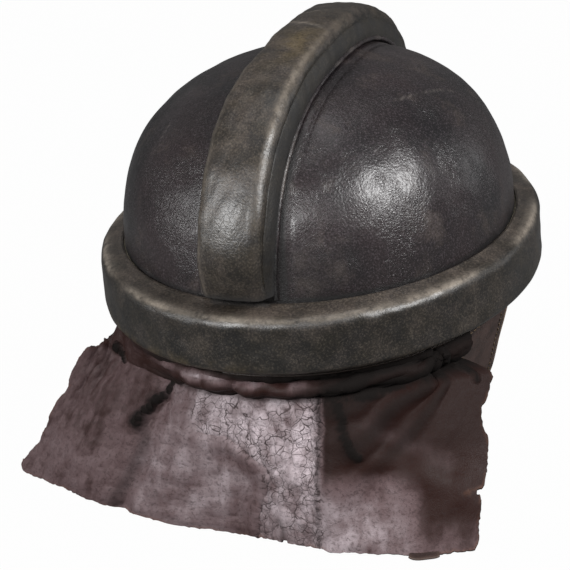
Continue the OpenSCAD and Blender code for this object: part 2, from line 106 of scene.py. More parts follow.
class Socket:
    """A value in a material. Plus, minus and times on it add Math nodes."""

    def __init__(self, finish, link):
        self.finish = finish
        self.link = link

    def reckon(self, operation, a, b):
        return self.finish.node("Math", {"operation": operation}, {0: a, 1: b})

    def __add__(self, other):
        return self.reckon("ADD", self, other)

    def __radd__(self, other):
        return self.reckon("ADD", other, self)

    def __sub__(self, other):
        return self.reckon("SUBTRACT", self, other)

    def __rsub__(self, other):
        return self.reckon("SUBTRACT", other, self)

    def __mul__(self, other):
        return self.reckon("MULTIPLY", self, other)

    def __rmul__(self, other):
        return self.reckon("MULTIPLY", other, self)


class Finish:
    """A material or the world, and the one way in which its nodes are made."""

    def __init__(self, owner):
        self.owner = owner
        owner.use_nodes = True
        self.tree = owner.node_tree
        self.tree.nodes.clear()

    def node(self, kind, settings=None, inputs=None, output=0):
        """Makes a node of that type, sets it up, fills or links its sockets and gives an output."""
        made = self.tree.nodes.new("ShaderNode" + kind)
        for name, value in (settings or {}).items():
            setattr(made, name, value)
        for name, value in (inputs or {}).items():
            if isinstance(value, Socket):
                self.tree.links.new(value.link, made.inputs[name])
            else:
                made.inputs[name].default_value = value
        if made.outputs:
            return Socket(self, made.outputs[output])

    def blend(self, share, first, second):
        """Colour that goes from first to second as the share goes from 0 to 1."""
        return self.node("Mix", {"data_type": "RGBA"}, {0: share, 6: first, 7: second}, 2)

    def coated(self, colour, *coats):
        """The colour under coats laid on in turn: each a share, red, green and blue to 255."""
        for share, *paint in coats:
            colour = self.blend(share, colour, tone(*paint))
        return colour

    def ramp(self, value, low, high):
        """0 below low and 1 above high, with a smooth step between."""
        return self.node("MapRange", {"interpolation_type": "SMOOTHSTEP"},
                         {"Value": value, "From Min": low, "From Max": high})

    def place(self, name=None):
        """Place on the object in metres, or the vector kept under that name in the mesh."""
        if name:
            return self.node("Attribute", {"attribute_name": name}, output=1)
        return self.node("TexCoord", output=3)

    def mark(self, name):
        """The number kept under that name in the mesh."""
        return self.node("Attribute", {"attribute_name": name}, output=2)

    def noise(self, where, size, detail=2.0, rough=0.5):
        """Cloudy pattern from 0 to 1 whose clouds are about size millimetres wide."""
        return self.node("TexNoise", inputs={"Vector": where, "Scale": 700 / size,
                                             "Detail": detail, "Roughness": rough})

    def warped(self, where, size, amount):
        """The place, moved about by a cloudy pattern by up to the amount in millimetres."""
        cloud = self.node("TexNoise", inputs={"Vector": where, "Scale": 700 / size}, output=1)
        return self.node("VectorMath", {"operation": "MULTIPLY_ADD"},
                         {0: cloud, 1: (amount / 500,) * 3, 2: where})

    def cells(self, where, size, feature="DISTANCE_TO_EDGE"):
        """Distance from the borders, or the middles, of cells about size millimetres wide."""
        return self.node("TexVoronoi", {"feature": feature},
                         {"Vector": where, "Scale": 1000 / size})

    def vein(self, value, wide):
        """1 on the thin lines along which a cloudy pattern passes through a half."""
        return self.ramp(value, 0.5 - wide, 0.5) * (1 - self.ramp(value, 0.5, 0.5 + wide))

    def surface(self, colour, rough, height, specular=0.3, **sockets):
        """Ends the material. The height is in millimetres and turns into a bump."""
        bump = self.node("Bump", inputs={"Height": height, "Distance": 0.001})
        shader = self.node("BsdfPrincipled", inputs={
            "Base Color": colour, "Roughness": rough, "Normal": bump,
            "Specular IOR Level": specular,
            **{name.replace("_", " "): value for name, value in sockets.items()}})
        self.node("OutputMaterial", inputs={"Surface": shader})
        return self.owner


def tone(red, green, blue):
    """Colour as the eye reads it, 0 to 255, as linear light: ((c + 0.055) / 1.055) ^ 2.4."""
    c = np.array([red, green, blue]) / 255
    return (*np.where(c > 0.04045, ((c + 0.055) / 1.055) ** 2.4, c / 12.92), 1.0)


def ray_share(finish, mirrored):
    """1 for what the camera sees straight on, and the given share for what is seen mirrored."""
    camera, glossy, clear = (finish.node("LightPath", output=f"Is {kind} Ray")
                             for kind in ("Camera", "Glossy", "Transmission"))
    return camera + mirrored * (glossy + clear)


floor_z = -100
floor_half = 12000
white = (1.0, 1.0, 1.0, 1.0)
paper_glow = 0.985
sheet = bpy.data.meshes.new("floor")
sheet.from_pydata([(x * floor_half / 1000, y * floor_half / 1000, floor_z / 1000)
                   for x, y in ((-1, -1), (1, -1), (1, 1), (-1, 1))], [], [(0, 1, 2, 3)])
paper = Finish(bpy.data.materials.new("floor_paper"))
matte = paper.node("BsdfDiffuse", inputs={"Color": (0.14, 0.14, 0.14, 1)})
bright = paper.node("Emission", inputs={"Color": white, "Strength": 1.0})
paper.node("OutputMaterial", inputs={"Surface": paper.node("MixShader", inputs={
    0: ray_share(paper, 0.03) * paper_glow, 1: matte, 2: bright})})
sheet.materials.append(paper.owner)
floor = bpy.data.objects.new("floor", sheet)
bpy.context.collection.objects.link(floor)

room = bpy.data.worlds.new("room")
bpy.context.scene.world = room
air = Finish(room)
air.node("OutputWorld", inputs={"Surface": air.node("Background", inputs={
    "Color": air.blend(ray_share(air, 0.07), (0.13, 0.13, 0.13, 1), white), "Strength": 1.0})})


# The dome. Two halves of thin black leather are drawn wet over the shell, sewn together under
# the crest, and tacked under the rim. The old finish has cracked into a fine net.

dome_r = 108.9
dome_k = 236 / 217.8  # length over width
dome_h = 92.8
seam_z = 32
dome_power = 2.44
seam_gap = 0.075  # from the middle to either half's edge
fold_x = 25.5  # the fine fold beside the crest


def grid_quads(rows, columns, round_rows=False, round_columns=False):
    """Corners of the squares of a grid whose points run row by row. A round grid meets itself."""
    i, j = np.meshgrid(np.arange(rows if round_rows else rows - 1),
                       np.arange(columns if round_columns else columns - 1), indexing="ij")
    k, n = (i + 1) % rows, (j + 1) % columns
    return np.stack([i * columns + j, i * columns + n, k * columns + n, k * columns + j],
                    -1).reshape(-1, 4)


def welded(points, quads):
    """Points at one place become one, and a square that loses a corner becomes a triangle."""
    _, first, same = np.unique(np.round(points, 3), axis=0, return_index=True,
                               return_inverse=True)
    quads = same.reshape(-1)[quads]
    kept = quads != np.roll(quads, -1, axis=1)
    count = kept.sum(1)
    threes = quads[count == 3][kept[count == 3]].reshape(-1, 3)
    return points[first], [quads[count == 4], threes]


def welded_tube(grid):
    """Points and faces of a grid whose rows are rings. The first and last may be points."""
    return welded(grid.reshape(-1, 3), grid_quads(*grid.shape[:2], False, True))


def facing(points, faces):
    """Unit normal at each point: the sum of the normals of the faces round it."""
    total = np.zeros_like(points)
    for f in faces:
        if len(f):
            p = points[f]
            n = np.cross(p[:, 2] - p[:, 0], p[:, -1] - p[:, 1])
            for k in range(f.shape[1]):
                np.add.at(total, f[:, k], n)
    return total / np.maximum(np.linalg.norm(total, axis=1, keepdims=True), 1e-9)


def make_piece(name, points, faces, material, marks=None, sharp=40):
    """Puts points, in millimetres, and lists of three- and four-cornered faces into a piece."""
    faces = [f for f in faces if len(f)]
    used, corners = np.unique(np.concatenate([f.ravel() for f in faces]), return_inverse=True)
    sizes = np.concatenate([np.full(len(f), f.shape[1]) for f in faces])
    mesh = bpy.data.meshes.new(name)
    mesh.vertices.add(len(used))
    mesh.vertices.foreach_set("co", (points[used] / 1000).ravel())
    mesh.loops.add(len(corners))
    mesh.loops.foreach_set("vertex_index", corners.ravel().astype(np.int32))
    mesh.polygons.add(len(sizes))
    mesh.polygons.foreach_set("loop_start",
                              np.concatenate([[0], np.cumsum(sizes)[:-1]]).astype(np.int32))
    for key, values in (marks or {}).items():
        values = np.asarray(values, np.float32)[used]
        vector = values.ndim == 2
        kept = mesh.attributes.new(key, "FLOAT_VECTOR" if vector else "FLOAT", "POINT")
        kept.data.foreach_set("vector" if vector else "value", values.ravel())
    mesh.update(calc_edges=True)
    mesh.validate()
    mesh.polygons.foreach_set("use_smooth", np.ones(len(mesh.polygons), bool))
    mesh.set_sharp_from_angle(angle=np.radians(sharp))
    mesh.materials.append(material)
    piece = bpy.data.objects.new(name, mesh)
    bpy.context.collection.objects.link(piece)
    return piece


def thick(points, faces, thickness):
    """A skin given its thickness: the outer face, the same face moved inwards along its normals,
    and a rounded strip of two squares on each open edge. Returns points, faces and the number of
    the point of the skin that each point comes from."""
    n = len(points)
    out = facing(points, faces)
    inner = points - out * np.reshape(thickness, (-1, 1))
    edges = np.concatenate([np.stack([f, np.roll(f, -1, axis=1)], -1).reshape(-1, 2)
                            for f in faces if len(f)])
    codes = edges[:, 0] * n + edges[:, 1]
    open_edges = edges[~np.isin(edges[:, 1] * n + edges[:, 0], codes)]
    a, b = open_edges.T
    away = np.cross(points[b] - points[a], out[a])
    push = np.zeros_like(points)
    np.add.at(push, a, away)
    np.add.at(push, b, away)
    rim = np.unique(open_edges)
    push = push[rim] / np.maximum(np.linalg.norm(push[rim], axis=1, keepdims=True), 1e-9)
    middle = (points[rim] + inner[rim]) / 2 + push * np.mean(thickness) * 0.22
    at = np.zeros(n, int)
    at[rim] = 2 * n + np.arange(len(rim))
    strips = np.concatenate([np.stack([b, a, at[a], at[b]], 1),
                             np.stack([at[b], at[a], a + n, b + n], 1)])
    return (np.concatenate([points, inner, middle]),
            [*faces, *(f[:, ::-1] + n for f in faces), strips],
            np.concatenate([np.arange(n), np.arange(n), rim]))


def swollen(points, faces, lift):
    """Points moved outwards along their normals by the lift."""
    return points + facing(points, faces) * lift[:, None]


def fit(piece, body, slot, node=None):
    """Says which body the piece rides on and which solid it stands for, which it hides. The slot is
    not used.
    """
    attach(piece, body)
    if node:
        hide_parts(node)


def coat(node, material):
    """Gives a solid that is shown as it is its material."""
    nodes[node].data.materials.clear()
    nodes[node].data.materials.append(material)


def line_distance(p, line, closed=False):
    """Distance of places from a line through points: the least |p - a - k (b - a)| over its
    stretches, with k = (p - a).(b - a) / |b - a|^2 held between 0 and 1."""
    line = np.array(line, float)
    best = np.full(p.shape[:-1], 1e9)
    for a, b in zip(line, np.roll(line, -1, axis=0) if closed else line[1:]):
        k = np.clip(((p - a) @ (b - a)) / max((b - a) @ (b - a), 1e-12), 0, 1)
        best = np.minimum(best, np.linalg.norm(p - a - k[..., None] * (b - a), axis=-1))
    return best


def ripple(p, size, seed, waves=9):
    """Uneven height from about -1 to 1: waves about the given size, added in random directions."""
    rng = np.random.default_rng(seed)
    way = rng.normal(size=(waves, p.shape[-1]))
    way *= rng.uniform(0.6, 1.6, (waves, 1)) / np.linalg.norm(way, axis=1, keepdims=True)
    return np.sin(p @ way.T * 2 * np.pi / size
                  + rng.uniform(0, 2 * np.pi, waves)).mean(-1) * waves ** 0.5 / 1.6


def bell(x, wide):
    """1 at x = 0, falling to 0 on both sides: e to the power of minus (x / wide) squared."""
    return np.exp(-(x / wide) ** 2)


def step(x, low, high):
    """0 below low, 1 above high and a smooth step between: 3 t^2 - 2 t^3."""
    t = np.clip((x - low) / (high - low), 0, 1)
    return t * t * (3 - 2 * t)


def dome_point(t, a, inset):
    """Point of the dome at angle t up its profile and a round it: radius cos(t) ^ (2 / power),
    height sin(t) ^ (2 / power), and the length stretched by dome_k."""
    r = (dome_r - inset) * np.clip(np.cos(t), 0, 1) ** (2 / dome_power)
    z = seam_z + (dome_h - inset) * np.sin(t) ** (2 / dome_power)
    return np.stack(np.broadcast_arrays(r * np.cos(a), r * dome_k * np.sin(a), z), -1)


def bowl_grid(inset, low, rows, columns, start=-90, turn=180):
    """Grid of a bowl's outer face from its lower edge at height low up to its pole."""
    t = np.radians(90) * np.linspace(0, 1, rows) ** 1.15
    a = np.radians(start + turn * np.linspace(0, 1, columns))
    upper = dome_point(t[:, None], a[None], inset)
    wall = upper[:1].repeat(6, 0)
    wall[..., 2] = np.linspace(low, seam_z, 7)[:-1, None]
    return np.concatenate([wall, upper])


def black_leather():
    """Black leather: fine wrinkles, low pebbles, brownish clouds, grey scuffs and scratches, and a
    near-black colour laid on as painted shade in its creases and gaps.
    """
    f = Finish(bpy.data.materials.new("black_leather"))
    at = f.place()
    wrinkle = f.cells(f.warped(at, 3, 3), 1.5)
    crease = (1 - f.ramp(wrinkle, 0.0, 0.2)) * f.ramp(f.noise(at, 16, 3), 0.40, 0.60)
    pebble = f.cells(f.warped(at, 2, 1), 1.25, "SMOOTH_F1")
    scuff = f.ramp(f.noise(f.warped(at, 30, 12), 16, 6, 0.65), 0.52, 0.76)
    cloud = f.noise(at, 45, 3)
    grain = f.noise(at, 0.7, 3, 0.6)
    colour = f.blend(f.ramp(cloud, 0.35, 0.65), tone(15, 13, 15), tone(34, 27, 28))
    colour = f.coated(
        colour, (scuff * 0.6, 64, 55, 50), (f.ramp(grain, 0.50, 0.70) * 0.42, 76, 69, 73),
        ((1 - f.ramp(grain, 0.34, 0.50)) * 0.6, 8, 7, 8), (crease * 0.35, 12, 11, 11),
        (f.mark("worn"), 132, 124, 118), (f.mark("deep"), 8, 7, 7))
    rough = 0.29 + 0.10 * scuff + 0.05 * crease + 0.06 * cloud + 0.25 * f.mark("deep")
    height = (0.11 * (1 - pebble) - 0.07 * crease + 0.05 * grain
              + 0.20 * f.noise(at, 6, 3) + 0.12 * f.noise(f.warped(at, 4, 2), 2.4, 2)
              - 0.25 * f.mark("groove"))
    return f.surface(colour, rough, height, specular=0.5)


def scored(p):
    """1 along two scratches on the dome and 0 a little beside them."""
    right = [(-59, 24, 114), (-64, 14, 113), (-69, 2, 111), (-73, -10, 108), (-77, -19, 104)]
    left = [(66, 61, 98), (65, 55, 101), (63, 50, 105)]
    return bell(np.minimum(line_distance(p, right), line_distance(p, left)), 0.6)


black = black_leather()
for side, name, start in ((1, "left", -90), (-1, "right", 90)):
    grid = bowl_grid(0, 14, 110, 150, start)
    points, faces = welded(grid.reshape(-1, 3), grid_quads(*grid.shape[:2]))
    points[:, 0] += side * seam_gap
    lumps = 0.35 * ripple(points, 46, 5) + 0.12 * ripple(points, 15, 6) - 0.3
    points = swollen(points, faces, lumps)
    from_fold = np.abs(np.abs(points[:, 0]) - fold_x)
    points = swollen(points, faces, -0.5 * bell(from_fold, 1.6) * step(points[:, 2], 40, 50))
    points, faces, source = thick(points, faces, 1.2)
    x, y, z = points.T
    scratch = scored(points)
    cover = make_piece(f"dome_leather_{name}", points, faces, black, {
        "worn": 0.22 * scratch * step(ripple(points, 9, 14), -0.9, 0.3),
        "groove": bell(from_fold, 0.8)[source] + 0.6 * scratch,
        # Painted shade: near-black along the dome's foot at the rim, in the gap beside the crest's
        # piping at the back, and in a patch low on the wearer's right at the back.
        "deep": np.clip(
            0.85 * bell(z - seam_z - 1, 1.6) + 0.95 * bell(np.abs(x) - 21.5, 1.5) * step(y, 55, 90)
            + 0.4 * bell(x + 37, 22) * step(y, 70, 100) * (1 - step(z, 54, 70)), 0, 0.97)})
    fit(cover, "root", "black_leather", f"dome_cover_{name}")


# The crest. A strip of olive-brown leather over felt stuffing runs from brow to nape. It is swollen
# towards the nape on the wearer's left, and rubbed pale along its right-hand top edge, where a
# painted highlight lies as well.

crest_h = 17
crest_foot = 17.9
crest_top = 14.9
crest_corner = 5.5
crest_swell = 4.8
welt_x = 19.7


def ridge(t):
    """Line over the middle of the dome, t degrees from nape to brow, as [y, z]."""
    c, s = np.cos(np.radians(t)), np.sin(np.radians(t))
    y = np.sign(c) * np.abs(c) ** (2 / dome_power) * dome_r * dome_k
    return np.stack([y, seam_z + dome_h * np.clip(s, 0, 1) ** (2 / dome_power)], -1)


def sag(t, x):
    """Depth of the dome's surface at x beside that line: its implicit value over its slope."""
    y, z = np.moveaxis(ridge(t), -1, 0)
    y, z = np.abs(y) / dome_k + 1e-6, z - seam_z
    r = np.hypot(y, x)
    g = (r / dome_r) ** dome_power + (z / dome_h) ** dome_power - 1
    slope_y = (r / dome_r) ** (dome_power - 1) / dome_r * y / (dome_k * r)
    slope_z = (z / dome_h) ** (dome_power - 1) / dome_h
    return g / (dome_power * np.hypot(slope_y, slope_z))


def on_crest(t, x, h):
    """Point above the line at t. x leans out with the swell on the left, and heights near the
    foot are counted from the dome beside the line."""
    e = np.minimum(0.5, np.minimum(t, 180 - t))
    ahead = ridge(t + e) - ridge(t - e)
    normal = np.stack([ahead[..., 1], -ahead[..., 0]], -1)
    normal /= np.linalg.norm(normal, axis=-1, keepdims=True)
    swell = crest_swell * (1 - step(t, 50, 85)) * (1 - 0.4 * bell(t - 35, 20))
    end = np.minimum(t, 180 - t)
    x = np.where(x > 0, x + swell * step(x, 0, 6), x * (1 - 0.12 * bell(end, 14)))
    share = 1 - 10 / 17 * bell(end, 8)
    up = h * share - sag(t, x) * np.clip(1 - h / crest_h, 0, 1)
    return np.concatenate([x[..., None], ridge(t) + normal * up[..., None]], -1)


def crest_section(inset, sides=16, turns=12, tops=14):
    """Half outline from foot to middle: a side that bows out a little, a round and a low crown."""
    k = np.linspace(0, 1, sides)[:-1]
    low, r = crest_h - crest_corner, crest_corner - inset
    x0, x1 = crest_foot - inset, crest_top - inset
    side = np.stack([x0 + (x1 - x0) * k + 0.9 * np.sin(np.pi * k), 0.2 + k * low], -1)
    a = np.radians(np.linspace(0, 90, turns))
    turn = np.stack([x1 - r + r * np.cos(a), low + r * np.sin(a)], -1)
    m = np.linspace(1, 0, tops)[1:]
    top = np.stack([(x1 - r) * m, crest_h - inset + 0.9 * (1 - m * m)], -1)
    half = np.concatenate([side, turn, top])
    return np.concatenate([half, half[-2::-1] * (-1, 1)])


def olive_leather():
    """Olive-brown leather: blotches, fine cracks, rubbed edges, some of which also carry a painted
    highlight, ochre where it has dried, and painted shade in its creases. The mark called light is
    painted light and shade: it goes from the shaded face of the rim to the lit crest."""
    f = Finish(bpy.data.materials.new("olive_leather"))
    at = f.place()
    blotch = f.ramp(f.noise(f.warped(at, 20, 8), 13, 5, 0.6), 0.32, 0.68)
    net = f.cells(f.warped(at, 6, 4), 3.0)
    crack = (1 - f.ramp(net, 0.0, 0.08)) * f.ramp(f.noise(at, 14, 3), 0.45, 0.62)
    pebble = f.cells(f.warped(at, 2, 1), 1.3, "SMOOTH_F1")
    fine = f.noise(at, 0.8, 3, 0.6)
    speck = f.ramp(fine, 0.50, 0.66)
    light = f.mark("light") + 0.42 * (blotch - 0.5)
    dry = f.mark("dry") * f.ramp(f.noise(at, 9, 4), 0.35, 0.65)
    worn = f.mark("worn") * f.ramp(f.noise(f.warped(at, 5, 3), 5, 4, 0.7), 0.22, 0.66)
    colour = f.blend(f.ramp(light, -0.2, 1.2), tone(13, 12, 11), tone(74, 65, 59))
    colour = f.coated(
        colour, (dry * 0.5, 92, 78, 50), (speck * (0.20 + 0.25 * light), 94, 86, 76),
        ((1 - f.ramp(fine, 0.34, 0.50)) * 0.55, 12, 10, 9), (crack * 0.3, 22, 18, 16),
        (worn * 0.8, 150, 140, 128), (f.mark("deep"), 12, 10, 10))
    rough = 0.36 + 0.10 * blotch + 0.05 * crack - 0.04 * worn + 0.5 * f.mark("deep")
    height = 0.10 * (1 - pebble) - 0.03 * crack + 0.06 * fine + 0.18 * f.noise(at, 6, 3)
    return f.surface(colour, rough, height, specular=0.5)


olive = olive_leather()


def lumpy(grid, lift, closed=False):
    """The grid moved outwards by the lift. Closed means that each of its rows is a ring."""
    quads = [grid_quads(*grid.shape[:2], False, closed)]
    return swollen(grid.reshape(-1, 3), quads, lift.ravel()).reshape(grid.shape)


def leather(name, grid, thickness, material, where, closed=False, **marks):
    """Leather of that thickness whose outer face is the grid. Where is its body, slot and solid,
    and a mark is one number, a row, a column or a number for each point of the grid."""
    quads = [grid_quads(*grid.shape[:2], False, closed)]
    points, faces, source = thick(grid.reshape(-1, 3), quads, thickness)
    piece = make_piece(name, points, faces, material, {
        key: np.broadcast_to(values, grid.shape[:2]).ravel()[source]
        for key, values in marks.items()})
    fit(piece, *where)
    return piece


t, x, h = np.broadcast_arrays(np.linspace(2.0, 178.0, 260)[:, None], *crest_section(0)[::-1].T)
grid = on_crest(t, x, h)
lumps = 0.55 * ripple(grid, 34, 11) + 0.22 * ripple(grid, 11, 12) - 0.45
# The right-hand top edge is rubbed pale and carries a painted highlight. The light mark below is
# painted light and shade: paler at the top of the arch, darker low on the sides and on the right
# flank. The darkest mark is painted shade along the crest's foot, at its lower end by the nape and
# on its right flank.
worn = (bell(x + 12.5, 1.3) * bell(h - 15.5, 2.2) * 0.5 * bell(t - 62, 28)
        + bell(x - 13, 1.2) * bell(h - 15.5, 2.2) * 0.22
        + 0.5 * bell(t - 92 - 0.10 * x, 0.35) * step(h, 14, 16) * step(x, -11, -8)
        + 0.5 * bell(t - 101 + 0.15 * x, 0.3) * step(h, 14, 16) * step(x, -6, 0))
dry = 0.9 * bell(t - 84, 8) * bell(x + 4, 9) * step(h, 12, 16) + 0.12
light = (0.20 + 0.16 * bell(t - 80, 25) - 0.22 * bell(h - 6, 6)
         - 0.40 * step(-x, 9, 14) * (1 - step(h, 11, 15)))
deep = (0.9 * bell(h, 1.6) + 0.5 * bell(h - 2, 3) * step(-x, 0, 5) * bell(t, 70)
        + 0.85 * bell(t - 1.6, 1.7) + 0.35 * step(-x, 12, 15) * (1 - step(h, 9, 12)))
crest_leather = leather("crest_leather", lumpy(grid, lumps * step(h, 0, 5) - 0.3), 1.3, olive,
                        ("root", "olive_leather", "crest_cover"),
                        worn=worn, dry=dry, light=light, deep=deep.clip(0, 0.95))


def felt(name, first, second):
    """Pressed felt: a tangle of short fibres in two shades."""
    f = Finish(bpy.data.materials.new(name))
    at = f.place()
    tangle = f.noise(f.warped(at, 2, 2.5), 1.3, 6, 0.7)
    cloud = f.noise(at, 28, 3)
    colour = f.blend(f.ramp(tangle * 0.6 + cloud * 0.4, 0.35, 0.65), first, second)
    return f.surface(colour, 0.92, 0.5 * tangle, specular=0.1)


def plump(section, t, name, material):
    """Closed stuffing carried along the crest, with both of its ends drawn together."""
    ring = np.concatenate([section, [[-crest_foot / 2, 0.5], [0, 0.5], [crest_foot / 2, 0.5]]])
    middle = ring.mean(0)
    ends = np.clip(np.minimum(t - t[0], t[-1] - t) / 1.5, 0, 1)[:, None, None]
    shaped = middle + (ring[None] - middle) * np.sqrt(ends * (2 - ends) + 1e-9)
    grid = on_crest(t[:, None], shaped[..., 0], shaped[..., 1])[:, ::-1]
    return make_piece(name, *welded_tube(grid), material)


grey_felt = felt("grey_felt", tone(128, 122, 108), tone(160, 152, 136))
crest_stuffing = plump(crest_section(2.2, 8, 6, 6), np.linspace(1.2, 178.8, 120),
                       "crest_stuffing", grey_felt)
fit(crest_stuffing, "root", "grey_felt", "crest_core")


def tube(path, radius, sides=10):
    """Round tube along a path of points: at each point a ring square to the path's direction."""
    ahead = np.gradient(path, axis=0)
    ahead /= np.linalg.norm(ahead, axis=1, keepdims=True)
    guide = np.array([0.123, 0.31, 0.94])
    side = np.cross(ahead, guide)
    side /= np.linalg.norm(side, axis=1, keepdims=True)
    a = np.linspace(0, 2 * np.pi, sides, endpoint=False)
    ring = np.cos(a)[None, :, None] * side[:, None] + np.sin(a)[None, :, None] * np.cross(
        side, ahead)[:, None]
    return path[:, None] + ring * np.reshape(radius, (-1, 1, 1))


def capped(grid):
    """Points and faces of a tube, each of whose ends is closed by a fan to its middle."""
    rows, sides = grid.shape[:2]
    points = np.concatenate([grid.reshape(-1, 3), grid[[0, -1]].mean(1)])
    j = np.arange(sides)
    n = (j + 1) % sides
    last = (rows - 1) * sides
    ends = np.concatenate([np.stack([n, j, 0 * j + rows * sides], 1),
                           np.stack([last + j, last + n, 0 * j + rows * sides + 1], 1)])
    return points, [grid_quads(rows, sides, False, True)[:, ::-1], ends[:, ::-1]]


# Piping of rolled black leather is sewn into the seam on either side of the crest.
for side, name in ((1, "left"), (-1, "right")):
    t = np.linspace(0.8, 179.2, 220)
    line = on_crest(t, np.full(t.shape, side * welt_x), np.full(t.shape, 1.6))
    points, faces = capped(tube(line, 1.25 + 0.28 * ripple(line, 7, 21 + side)))
    # Painted shade darkens the piping on its side towards the crest, at the back.
    welt = make_piece(f"crest_piping_{name}", points, faces, black, {
        "worn": 0.22 * step(ripple(points, 25, 3), 0.0, 0.9), "groove": np.zeros(len(points)),
        "deep": 0.9 * (1 - step(np.abs(points[:, 0]), 19.4, 20.4)) * step(points[:, 1], 30, 70)})
    fit(welt, "root", "black_leather", f"crest_welt_{name}")


# The rim. Olive-brown leather is drawn over a ring of stuffing round the shell's lower edge.
# Its upper face slopes a little and is painted lighter than its outer face, as painted light, and
# its upper outer edge and its lower edge are rubbed; the upper outer edge also carries a painted
# highlight.

rim_half = np.array([122.5, 138.4])
dome_half = np.array([dome_r, dome_r * dome_k])
rim_top, rim_top_r = 31.2, 7
rim_low, rim_low_r = -2.1, 5


def beside(a, half, d, z):
    """Point at angle a, in radians, d outside an ellipse of those half sizes, at height z."""
    n = np.stack([np.cos(a) / half[0], np.sin(a) / half[1]], -1)
    n /= np.linalg.norm(n, axis=-1, keepdims=True)
    x, y = half[0] * np.cos(a) + n[..., 0] * d, half[1] * np.sin(a) + n[..., 1] * d
    return np.stack(np.broadcast_arrays(x, y, z), -1)


def rim_grid(a, inset):
    """Rings of the rim's outer face, from the seam at the dome over the edge to the underside."""
    rows = [beside(a, dome_half, 0.4 + inset * 0.5, 29.0),
            beside(a, dome_half, 0.4 + inset * 0.5, 31.4),
            beside(a, dome_half, 0.8 + inset * 0.4, 32.6 - inset)]
    start, end = beside(a, dome_half, 2.0, 33.0 - inset), beside(a, rim_half, -7.0, rim_top - inset)
    rows += [start + (end - start) * k for k in np.linspace(0, 1, 9)[:-1]]
    high, low = rim_top - rim_top_r, rim_low + rim_low_r
    r = rim_top_r - inset
    rows += [beside(a, rim_half, -inset - r + r * np.sin(k), high + r * np.cos(k))
             for k in np.radians(np.linspace(0, 90, 12))]
    rows += [beside(a, rim_half, -inset, high + (low - high) * k)
             for k in np.linspace(0, 1, 16)[1:-1]]
    r = rim_low_r - inset
    rows += [beside(a, rim_half, -inset - r + r * np.cos(k), low - r * np.sin(k))
             for k in np.radians(np.linspace(0, 90, 10))]
    start, end = rows[-1], beside(a, dome_half, -5.0 + inset, rim_low + inset)
    rows += [start + (end - start) * k for k in np.linspace(0, 1, 6)[1:]]
    return np.stack(rows)


a = np.radians(np.linspace(0, 360, 480, endpoint=False))
grid = rim_grid(a, 0.0)[:, ::-1]
k = np.linspace(0, 1, len(grid))[:, None]
z = grid[..., 2]
lumps = 0.5 * ripple(grid, 42, 31) + 0.25 * ripple(grid, 13, 32) - 0.45
grid = lumpy(grid, lumps * step(z, -2.0, 3) * step(k, 0.03, 0.12) - 0.1, closed=True)
x, y = grid[..., 0], grid[..., 1]
# A painted highlight, mixed with wear, runs along the upper outer edge. The light mark paints the
# upper face lighter than the outer face. Painted shade darkens the seam at the dome and a strip of
# the ledge under the crest's end.
edge = bell(z - 29.8, 1.3) * step(k, 0.15, 0.25) * step(ripple(grid, 60, 33), -0.9, 0.4)
shadow_under_crest = step(-np.abs(x - 2), -19, -15) * bell(np.hypot(x, y / 1.08) - dome_r - 2, 3.0)
rim_leather = leather(
    "rim_leather", grid, 1.3, olive, ("root", "olive_leather", "rim_cover"), closed=True,
    worn=0.7 * edge + 0.12 * bell(z + 1.2, 1.2) * step(y, 60, 110),
    dry=0.55 * step(-z, -7, 1) * step(x, -30, 20) + 0.08, light=0.02 + 0.34 * step(z, 28.5, 31.5),
    deep=(0.7 * step(-k, -0.05, -0.01) + 0.85 * shadow_under_crest * step(z, 31, 32)).clip(0, 0.95))

grid = rim_grid(a[::3], 2.2)[3:, ::-1]
inner = grid[-1:] * (1, 1, 0) + (0, 0, 31.0)
k = np.linspace(0, 1, 8)[1:-1, None, None]
ring = np.concatenate([grid, grid[-1:] * (1 - k) + inner * k, inner])
rim_stuffing = make_piece("rim_stuffing", ring.reshape(-1, 3),
                          [grid_quads(*ring.shape[:2], True, True)], grey_felt)
fit(rim_stuffing, "root", "grey_felt", "rim_core")


# The neck guard. One piece of thick brown leather is sewn under the rim. Its top is crushed into a
# roll at the back, its left end is torn free, and its middle has cracked and bleached. Painted
# light is added to the pale middle, and painted shade lies in its folds and tears and under the
# roll.

spans = 8
step_x = 36
step_y = 85
roll_y = 30
fold_z = -19.05
hem_z = floor_z + 0.15
top_edge = np.array([[0.882, 0.645], [0.776, 0.636], [0.596, 0.730], [0.335, 0.860],
                     [0.082, 0.910], [-0.163, 0.903], [-0.433, 0.838], [-0.718, 0.672],
                     [-0.931, 0.477]]) * rim_half
hem_edge = np.array([[1.298, 0.643], [1.094, 0.742], [0.865, 0.832], [0.531, 0.925],
                     [0.122, 0.968], [-0.163, 1.004], [-0.465, 1.026], [-0.776, 0.997],
                     [-1.004, 0.910]]) * rim_half
# Angles round the rim at which the guard's first row is sewn, at s = 0 to 8.
rim_turn = np.radians([[28], [37], [50], [68.5], [84.8], [100.2], [117.3], [136.5], [149]])


def through(points, s):
    """Catmull and Rom's curve through points one step apart, carried on straight at its ends.
    The points may themselves be arrays, with the step as their first axis."""
    inside = np.clip(s, 0, len(points) - 1)
    i = np.minimum(np.floor(inside).astype(int), len(points) - 2)
    ends = np.concatenate([2 * points[:1] - points[1:2], points, 2 * points[-1:] - points[-2:-1]])
    if points.ndim == 2:
        a, b, c, d = (ends[i + k] for k in range(4))
    else:
        j = np.arange(points.shape[1])
        a, b, c, d = (ends[i + k, j] for k in range(4))
    t = (inside - i)[..., None]
    beyond = (s - inside)[..., None] * (c - b)
    return beyond + 0.5 * (2 * b + (c - a) * t + (2 * a - 5 * b + 4 * c - d) * t * t
                           + (3 * b - a - 3 * c + d) * t * t * t)


